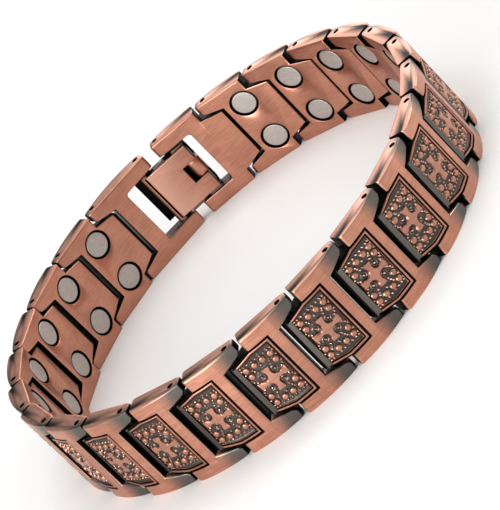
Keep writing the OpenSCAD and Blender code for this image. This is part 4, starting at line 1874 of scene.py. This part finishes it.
def new_group(name: str, inputs: dict[str, tuple[str, object]],
              outputs: dict[str, str]) -> tuple[bpy.types.NodeTree, NodeTree]:
    """A new shader node group with named sockets.

    Args:
        name: the group's name.
        inputs: the kind and default value of each input.
        outputs: the kind of each output.

    Returns:
        The group and a NodeTree on it.
    """
    group = bpy.data.node_groups.new(name, "ShaderNodeTree")
    for label, (kind, value) in inputs.items():
        socket = group.interface.new_socket(label, in_out="INPUT", socket_type=kind)
        if value is not None:
            socket.default_value = value
    for label, kind in outputs.items():
        group.interface.new_socket(label, in_out="OUTPUT", socket_type=kind)
    return group, NodeTree(group)


FLOAT = "NodeSocketFloat"
VECTOR = "NodeSocketVector"
COLOUR = "NodeSocketColor"


@dataclass(frozen=True)
class Noise:
    """A noise texture's scale per millimetre, its detail and its roughness."""

    scale: float
    detail: float
    rough: float


@dataclass(frozen=True)
class GrainSizes:
    """Brush marks: their noises, and what each adds to their height."""

    through: float = 1.5
    coarse: Noise = Noise(1.0, 4, 0.65)
    finer: Noise = Noise(1.0, 2, 0.6)
    finer_scale: Triple = (1.7, 1, 2.6)
    cloud: Noise = Noise(0.35, 2, 0.5)
    coarse_share: float = 0.6
    finer_share: float = 0.4


@dataclass(frozen=True)
class PatinaAndShadeSizes:
    """Patina and painted shade: how specks shift the borders of grey and dark, and where each
    sets in.
    """

    speck: Noise = Noise(3.2, 4, 0.6)
    shift: float = 0.2
    dark_share: float = 0.5
    grey_from: Pair = (0.0, 0.2)
    dark_steps: Pair = (0.1, 0.85)
    dark_from: Pair = (0.0, 0.15)


class Groups:
    """The node groups that several finishes share, each built once."""

    def __init__(self) -> None:
        """Builds both groups."""
        self.brushed = self._brushed()
        self.patina_and_painted_light = self._patina_and_painted_light()

    @staticmethod
    def _brushed() -> bpy.types.NodeTree:
        """Brush marks: noise that is long along X and fine across it, and broad cloudy patches.

        Returns:
            The group.
        """
        group, tree = new_group(
            "brush_marks",
            {"Vector": (VECTOR, None), "Across": (FLOAT, 5.0), "Along": (FLOAT, 0.35)},
            {"Streaks": FLOAT, "Clouds": FLOAT, "Height": FLOAT},
        )
        enter, sizes = tree.add("NodeGroupInput").outputs, GrainSizes()
        parts = tree.add("ShaderNodeSeparateXYZ", {0: enter["Vector"]}).outputs
        along = tree.math("MULTIPLY", parts[0], enter["Along"])
        across = tree.math("MULTIPLY", parts[2], enter["Across"])
        through = tree.math("MULTIPLY", parts[1], sizes.through)
        pulled = tree.add("ShaderNodeCombineXYZ", {0: along, 1: through, 2: across}).outputs[0]
        streaks = tree.noise(pulled, sizes.coarse)
        finer = tree.noise(tree.scaled(pulled, sizes.finer_scale), sizes.finer)
        clouds = tree.noise(enter["Vector"], sizes.cloud)
        height = tree.blend(streaks, sizes.coarse_share, finer, sizes.finer_share)
        tree.add("NodeGroupOutput", {"Streaks": streaks, "Clouds": clouds, "Height": height})
        return group

    @staticmethod
    def _patina_and_painted_light() -> bpy.types.NodeTree:
        """Copper that turns grey and black by two masks, with uneven borders, and bright by a
        third: patina and wear, with painted shade in the black and painted highlights in the
        bright.

        Returns:
            The group.
        """
        # Black paints patina and shade, and Bright wear and highlights.
        group, tree = new_group(
            "patina_and_painted_light_tones",
            {"Copper": (COLOUR, (0.8, 0.4, 0.27, 1)), "Grey": (FLOAT, 0.0), "Dark": (FLOAT, 0.0),
             "Wear_and_highlight": (FLOAT, 0.0), "Vector": (VECTOR, None),
             "Gunmetal": (COLOUR, (0.13, 0.12, 0.11, 1)),
             "Black": (COLOUR, (0.02, 0.015, 0.012, 1)),
             "Bright": (COLOUR, (0.95, 0.55, 0.4, 1))},
            {"Color": COLOUR, "Grey": FLOAT, "Dark": FLOAT},
        )
        enter, sizes = tree.add("NodeGroupInput").outputs, PatinaAndShadeSizes()
        speck = tree.noise(enter["Vector"], sizes.speck)
        shift = tree.math("MULTIPLY", tree.math("SUBTRACT", speck, 0.5), sizes.shift)
        grey = tree.math("ADD", enter["Grey"], shift, clamp=True)
        grey = tree.math("MULTIPLY", grey, tree.ramp(enter["Grey"], *sizes.grey_from))
        shift = tree.math("MULTIPLY", shift, sizes.dark_share)
        dark = tree.ramp(tree.math("ADD", enter["Dark"], shift), *sizes.dark_steps)
        dark = tree.math("MULTIPLY", dark, tree.ramp(enter["Dark"], *sizes.dark_from))
        wear_and_highlight = tree.mix(enter["Wear_and_highlight"], enter["Copper"], enter["Bright"])
        toned = tree.mix(grey, wear_and_highlight, enter["Gunmetal"])
        colour = tree.mix(dark, toned, enter["Black"])
        tree.add("NodeGroupOutput", {"Color": colour, "Grey": grey, "Dark": dark})
        return group


def new_material(name: str, groups: Groups) -> tuple[
        bpy.types.Material, NodeTree, bpy.types.NodeSocket, bpy.types.Node]:
    """A new material whose brush marks follow the place attribute.

    Args:
        name: the material's name.
        groups: the shared node groups.

    Returns:
        The material, a NodeTree on it, the place's socket and the brush marks' node.
    """
    material = bpy.data.materials.new(name)
    material.use_nodes = True
    tree = NodeTree(material.node_tree)
    where = tree.add("ShaderNodeAttribute", attribute_name="place").outputs["Vector"]
    brushed = tree.add("ShaderNodeGroup", node_tree=groups.brushed)
    tree.tree.links.new(where, brushed.inputs["Vector"])
    return material, tree, where, brushed


@dataclass(frozen=True)
class CopperFinish:
    """Brushed, antiqued copper. Its black also paints shade in gaps and holes, and its bright
    also paints highlights.
    """

    name: str
    copper: Triple = (0.62, 0.29, 0.198)
    deep: Triple = (0.43, 0.19, 0.127)
    # bright is wear and painted highlight, black is patina and painted shade.
    bright: Triple = (0.8, 0.46, 0.34)
    gunmetal: Triple = (0.125, 0.112, 0.10)
    black: Triple = (0.006, 0.005, 0.0045)
    rough: float = 0.3
    streak_rough: float = 0.12
    dark_rough: float = 0.2
    bump: float = 0.12
    streak_steps: Pair = (0.34, 0.66)
    cloud_steps: Pair = (0.3, 0.7)
    streak_share: float = 0.6
    cloud_share: float = 0.4

    def build(self, groups: Groups) -> bpy.types.Material:
        """The finish as a material.

        Args:
            groups: the shared node groups.

        Returns:
            The material.
        """
        material, tree, where, brushed = new_material(self.name, groups)
        streaks = tree.ramp(brushed.outputs["Streaks"], *self.streak_steps)
        clouds = tree.ramp(brushed.outputs["Clouds"], *self.cloud_steps)
        tone = tree.blend(streaks, self.streak_share, clouds, self.cloud_share)
        copper = tree.mix(tone, (*self.deep, 1), (*self.copper, 1))
        patina_and_painted_light = tree.add("ShaderNodeGroup", node_tree=groups.patina_and_painted_light)
        tree.tree.links.new(copper, patina_and_painted_light.inputs["Copper"])
        tree.tree.links.new(where, patina_and_painted_light.inputs["Vector"])
        for label in ("Grey", "Dark", "Wear_and_highlight"):
            mask = tree.add("ShaderNodeAttribute", attribute_name=label.lower()).outputs["Fac"]
            tree.tree.links.new(mask, patina_and_painted_light.inputs[label])
        for label, colour in (("Gunmetal", self.gunmetal), ("Black", self.black),
                              ("Bright", self.bright)):
            patina_and_painted_light.inputs[label].default_value = (*colour, 1)
        rough = tree.math("ADD", self.rough, tree.math("MULTIPLY", streaks, self.streak_rough))
        dark_rough = tree.math("MULTIPLY", patina_and_painted_light.outputs["Dark"], self.dark_rough)
        rough = tree.math("ADD", rough, dark_rough)
        bump = tree.bump(brushed.outputs["Height"], self.bump)
        shader = tree.add("ShaderNodeBsdfPrincipled", {
            "Base Color": patina_and_painted_light.outputs["Color"], "Roughness": rough, "Metallic": 1.0,
            "Normal": bump,
        })
        tree.add("ShaderNodeOutputMaterial", {"Surface": shader.outputs[0]})
        return material


@dataclass(frozen=True)
class MagnetFinish:
    """The satin plating of the magnets, with fine scratches."""

    name: str = "magnet_plating"
    light: Triple = (0.52, 0.475, 0.44)
    shade: Triple = (0.43, 0.39, 0.36)
    rough: float = 0.42
    cloud_rough: float = 0.1
    metal: float = 0.85
    bump: float = 0.1
    grain: float = 1.2
    streak_steps: Pair = (0.3, 0.7)

    def build(self, groups: Groups) -> bpy.types.Material:
        """The finish as a material.

        Args:
            groups: the shared node groups.

        Returns:
            The material.
        """
        material, tree, _, brushed = new_material(self.name, groups)
        brushed.inputs["Along"].default_value = self.grain
        streaks = tree.ramp(brushed.outputs["Streaks"], *self.streak_steps)
        colour = tree.mix(streaks, (*self.shade, 1), (*self.light, 1))
        clouds = tree.math("MULTIPLY", brushed.outputs["Clouds"], self.cloud_rough)
        rough = tree.math("ADD", self.rough, clouds)
        bump = tree.bump(brushed.outputs["Height"], self.bump)
        shader = tree.add("ShaderNodeBsdfPrincipled", {
            "Base Color": colour, "Roughness": rough, "Metallic": self.metal, "Normal": bump,
        })
        tree.add("ShaderNodeOutputMaterial", {"Surface": shader.outputs[0]})
        return material


@dataclass(frozen=True)
class Finishes:
    """The materials of all the pieces."""

    copper: bpy.types.Material
    magnet: bpy.types.Material
    steel: bpy.types.Material


@dataclass
class Chain:
    """The ordinary links with their magnets, the two end links and the pins."""

    loop: Loop
    finishes: Finishes
    grain_step: Triple = (37.0, 0.0, 5.3)
    end_grain: int = 30

    def shift(self, number: int) -> np.ndarray:
        """How far a link's grain is moved, so that no two links have the same marks."""
        return np.array(self.grain_step) * number

    def build(self) -> None:
        """Builds every piece of the chain."""
        self.links()
        self.end_links()
        self.pins()

    def links(self) -> None:
        """Lays one link and its magnets at each place of the loop."""
        link = Link(self.loop.sizes)
        master = link.mesh()
        points = coordinates(master)
        set_masks(master, link.masks(points))
        magnets = Magnets(link).mesh()
        magnet_points = coordinates(magnets)
        for number in range(1, self.loop.sizes.link_count + 1):
            place = self.loop.link_place(number)
            mesh = master.copy()
            set_masks(mesh, {"place": points + self.shift(number)})
            place_piece(f"link_piece_{number:02d}", mesh, place, Body.CHAIN,
                        self.finishes.copper, [f"link_{number:02d}"])
            discs = magnets.copy()
            set_masks(discs, {"place": magnet_points + self.shift(number)})
            place_piece(f"magnet_pair_{number:02d}", discs, place, Body.CHAIN,
                        self.finishes.magnet, [f"magnets_{number:02d}"])
        LOG.info("links: %d of %d points", self.loop.sizes.link_count, len(points))

    def end_links(self) -> None:
        """Builds both end links."""
        places = {EndKind.LEFT: self.loop.left_end_place(),
                  EndKind.RIGHT: self.loop.right_end_place()}
        for number, (kind, place) in enumerate(places.items()):
            end = EndLink(self.loop.sizes, kind)
            mesh = end.mesh()
            dress(end, mesh, self.shift(self.end_grain + number))
            place_piece(kind.value + "_piece", mesh, place, Body.CHAIN,
                        self.finishes.copper, [kind.value])
            LOG.info("%s: %d points", kind.value, len(mesh.vertices))

    def pins(self) -> None:
        """Builds the chain's pins as one piece of many rods."""
        low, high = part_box("link_pins")
        rod = Rod(self.loop.sizes.pin_r, low.z / MM, high.z / MM)
        places = [
            Matrix.Rotation(self.loop.pin_angle(number), 4, "Z")
            @ Matrix.Translation((self.loop.radius, 0, 0))
            for number in range(1, self.loop.sizes.link_count + 2)
        ]
        surface = Surface.joined([rod.surface(place) for place in places])
        mesh = as_mesh("pins", surface)
        set_masks(mesh, rod_masks(coordinates(mesh), self.loop.sizes))
        place_piece("chain_pins", mesh, Matrix.Identity(4), Body.CHAIN,
                    self.finishes.steel, ["link_pins"])
        LOG.info("pins: %d rods", len(places))


@dataclass
class Clasp:
    """The fold-over clasp: two bars, the blade, the lever and its pin."""

    loop: Loop
    finishes: Finishes
    lever_node: bpy.types.Object
    sizes: ClaspSizes = field(default_factory=ClaspSizes)
    blade_grain: float = 91.0
    lever_grain: float = 173.0

    def build(self) -> None:
        """Builds every piece of the clasp."""
        place = self.loop.hinge_bar_place()
        pin = Vector((self.sizes.pin_x, -self.sizes.pin_in, 0))
        span = Vector((self.loop.sizes.bar_span, 0, 0))
        bar_r = self.loop.sizes.pin_r
        self.rod("clasp_hinge_bar", Vector((0, 0, 0)), bar_r, Body.CHAIN)
        self.rod("clasp_hook_bar", span, bar_r, Body.CHAIN)
        self.rod("clasp_lever_pin", pin, self.sizes.pin_r, Body.LEVER)
        blade = Blade(self.loop.sizes, self.sizes)
        mesh = blade.mesh()
        dress(blade, mesh, self.blade_grain)
        tilt = Matrix.Rotation(-self.sizes.tilt, 4, "Z")
        place_piece("blade_plate", mesh, place @ tilt, Body.BLADE,
                    self.finishes.copper, ["clasp_blade"])
        lever = Lever(self.loop.sizes)
        mesh = lever.mesh(self.lever_node, place)
        dress(lever, mesh, self.lever_grain)
        place_piece("lever_cover", mesh, place, Body.LEVER, self.finishes.copper,
                    ["clasp_lever"])
        LOG.info("clasp: lever of %d points", len(mesh.vertices))

    def rod(self, node: str, where: Vector, radius: float, body: Body) -> None:
        """Builds a bar or the lever's pin, as long as its node.

        Args:
            node: the node that it stands for.
            where: its axis, in the clasp's frame.
            radius: its radius.
            body: the body that it rides on.
        """
        low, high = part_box(node)
        place = self.loop.hinge_bar_place() @ Matrix.Translation(where)
        mesh = as_mesh(node, Rod(radius, low.z / MM, high.z / MM).surface(place))
        set_masks(mesh, rod_masks(coordinates(mesh), self.loop.sizes))
        place_piece(node + "_rod", mesh, Matrix.Identity(4), body,
                    self.finishes.steel, [node])


@dataclass(frozen=True)
class Panel:
    """A square light: its name, its place and side in metres, and its power in watts."""

    name: str
    where: Triple
    size: float
    power: float


PANELS = (
    Panel("key", (-0.285, -0.39, 0.14), 0.26, 2.1),
    Panel("top", (0.0, 0.05, 0.6), 0.6, 2.1),
    Panel("back", (0.075, 0.26, 0.125), 0.16, 0.21),
    Panel("side", (0.355, 0.0, 0.375), 0.26, 0.4),
    Panel("left", (-0.405, -0.285, 0.1), 0.2, 0.6),
    Panel("right", (0.45, 0.12, 0.1), 0.16, 0.8),
)


@dataclass
class Studio:
    """The camera, the floor and the light."""

    loop: Loop
    focal_px: float = 3371.0
    frame_px: float = 510.0
    sensor_mm: float = 36.0
    camera_pitch: float = 23.573
    camera_roll: float = -44.848
    camera_away: float = 439.47
    aim_x: float = -1.024
    aim_y: float = 18.767
    turn: float = 1.43
    floor_half: float = 4.0
    surround: float = 0.3
    aim_z: float = 0.007

    def camera(self) -> bpy.types.Object:
        """The camera at the photograph's angle.

        The fit's frame has its origin on the band's upper plane, at (aim_x, aim_y) from the
        loop's centre, and is turned against the frame by turn degrees.

        Returns:
            The camera's object.
        """
        pitch, roll = math.radians(self.camera_pitch), math.radians(self.camera_roll)
        ahead = Vector((0, math.cos(pitch), -math.sin(pitch)))
        level = Vector((1, 0, 0))
        upright = Vector((0, math.sin(pitch), math.cos(pitch)))
        right = level * math.cos(roll) + upright * math.sin(roll)
        up = upright * math.cos(roll) - level * math.sin(roll)
        spin = Matrix.Rotation(math.radians(self.turn), 3, "Z")
        eye = -ahead * self.camera_away - Vector((self.aim_x, self.aim_y, 0))
        eye = spin @ eye + Vector((0, 0, self.loop.sizes.band_w))
        axes = Matrix([spin @ right, spin @ up, spin @ -ahead]).transposed().to_4x4()
        data = bpy.data.cameras.new("camera")
        data.sensor_fit = "VERTICAL"
        data.sensor_height = self.sensor_mm
        data.lens = self.sensor_mm * self.focal_px / self.frame_px
        data.clip_start = 0.01
        data.clip_end = 20.0
        camera = bpy.data.objects.new("camera", data)
        camera.matrix_world = Matrix.Translation(eye * MM) @ axes
        bpy.context.scene.collection.objects.link(camera)
        bpy.context.scene.camera = camera
        return camera

    def floor(self) -> None:
        """A plain pale floor under the lower edge of the band."""
        h = self.floor_half
        mesh = bpy.data.meshes.new("floor")
        corners = np.array([(-h, -h, 0), (h, -h, 0), (h, h, 0), (-h, h, 0)])
        mesh.from_pydata(corners, [], [(0, 1, 2, 3)])
        material = bpy.data.materials.new("floor_paper")
        material.use_nodes = True
        shader = material.node_tree.nodes["Principled BSDF"]
        shader.inputs["Base Color"].default_value = (0.9, 0.9, 0.89, 1)
        shader.inputs["Roughness"].default_value = 0.8
        mesh.materials.append(material)
        floor = bpy.data.objects.new("floor", mesh)
        bpy.context.scene.collection.objects.link(floor)

    def light(self) -> None:
        """Soft light: a white surround and soft panels."""
        world = bpy.data.worlds.new("studio")
        bpy.context.scene.world = world
        world.use_nodes = True
        tree = NodeTree(world.node_tree)
        back = tree.add("ShaderNodeBackground",
                        {"Color": (1, 1, 1, 1), "Strength": self.surround})
        tree.add("ShaderNodeOutputWorld", {"Surface": back.outputs[0]})
        for panel in PANELS:
            self.add_panel(panel)
        bpy.context.scene.view_settings.view_transform = "Standard"

    def add_panel(self, panel: Panel) -> None:
        """Places a panel so that it points at the bracelet's middle.

        Args:
            panel: the panel.
        """
        data = bpy.data.lights.new(panel.name, "AREA")
        data.size = panel.size
        data.energy = panel.power
        lamp = bpy.data.objects.new(panel.name, data)
        lamp.location = panel.where
        aim = Vector((0, 0, self.aim_z)) - lamp.location
        lamp.rotation_euler = aim.to_track_quat("-Z", "Y").to_euler()
        bpy.context.scene.collection.objects.link(lamp)


def main() -> None:
    """Builds the scene round the frame."""
    logging.basicConfig(level=logging.INFO, format="%(name)s %(message)s")
    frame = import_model()
    loop = Loop.closed(ChainSizes())
    LOG.info("loop: radius %.4f mm", loop.radius)
    studio = Studio(loop)
    studio.camera()
    studio.floor()
    studio.light()
    groups = Groups()
    finishes = Finishes(
        copper=CopperFinish("antiqued_copper").build(groups),
        magnet=MagnetFinish().build(groups),
        steel=CopperFinish("dark_pin_metal", copper=(0.09, 0.07, 0.06), deep=(0.04, 0.034, 0.03),
                           rough=0.4).build(groups),
    )
    Chain(loop, finishes).build()
    Clasp(loop, finishes, frame["nodes"]["clasp_lever"]).build()


if __name__ == "__main__":
    main()
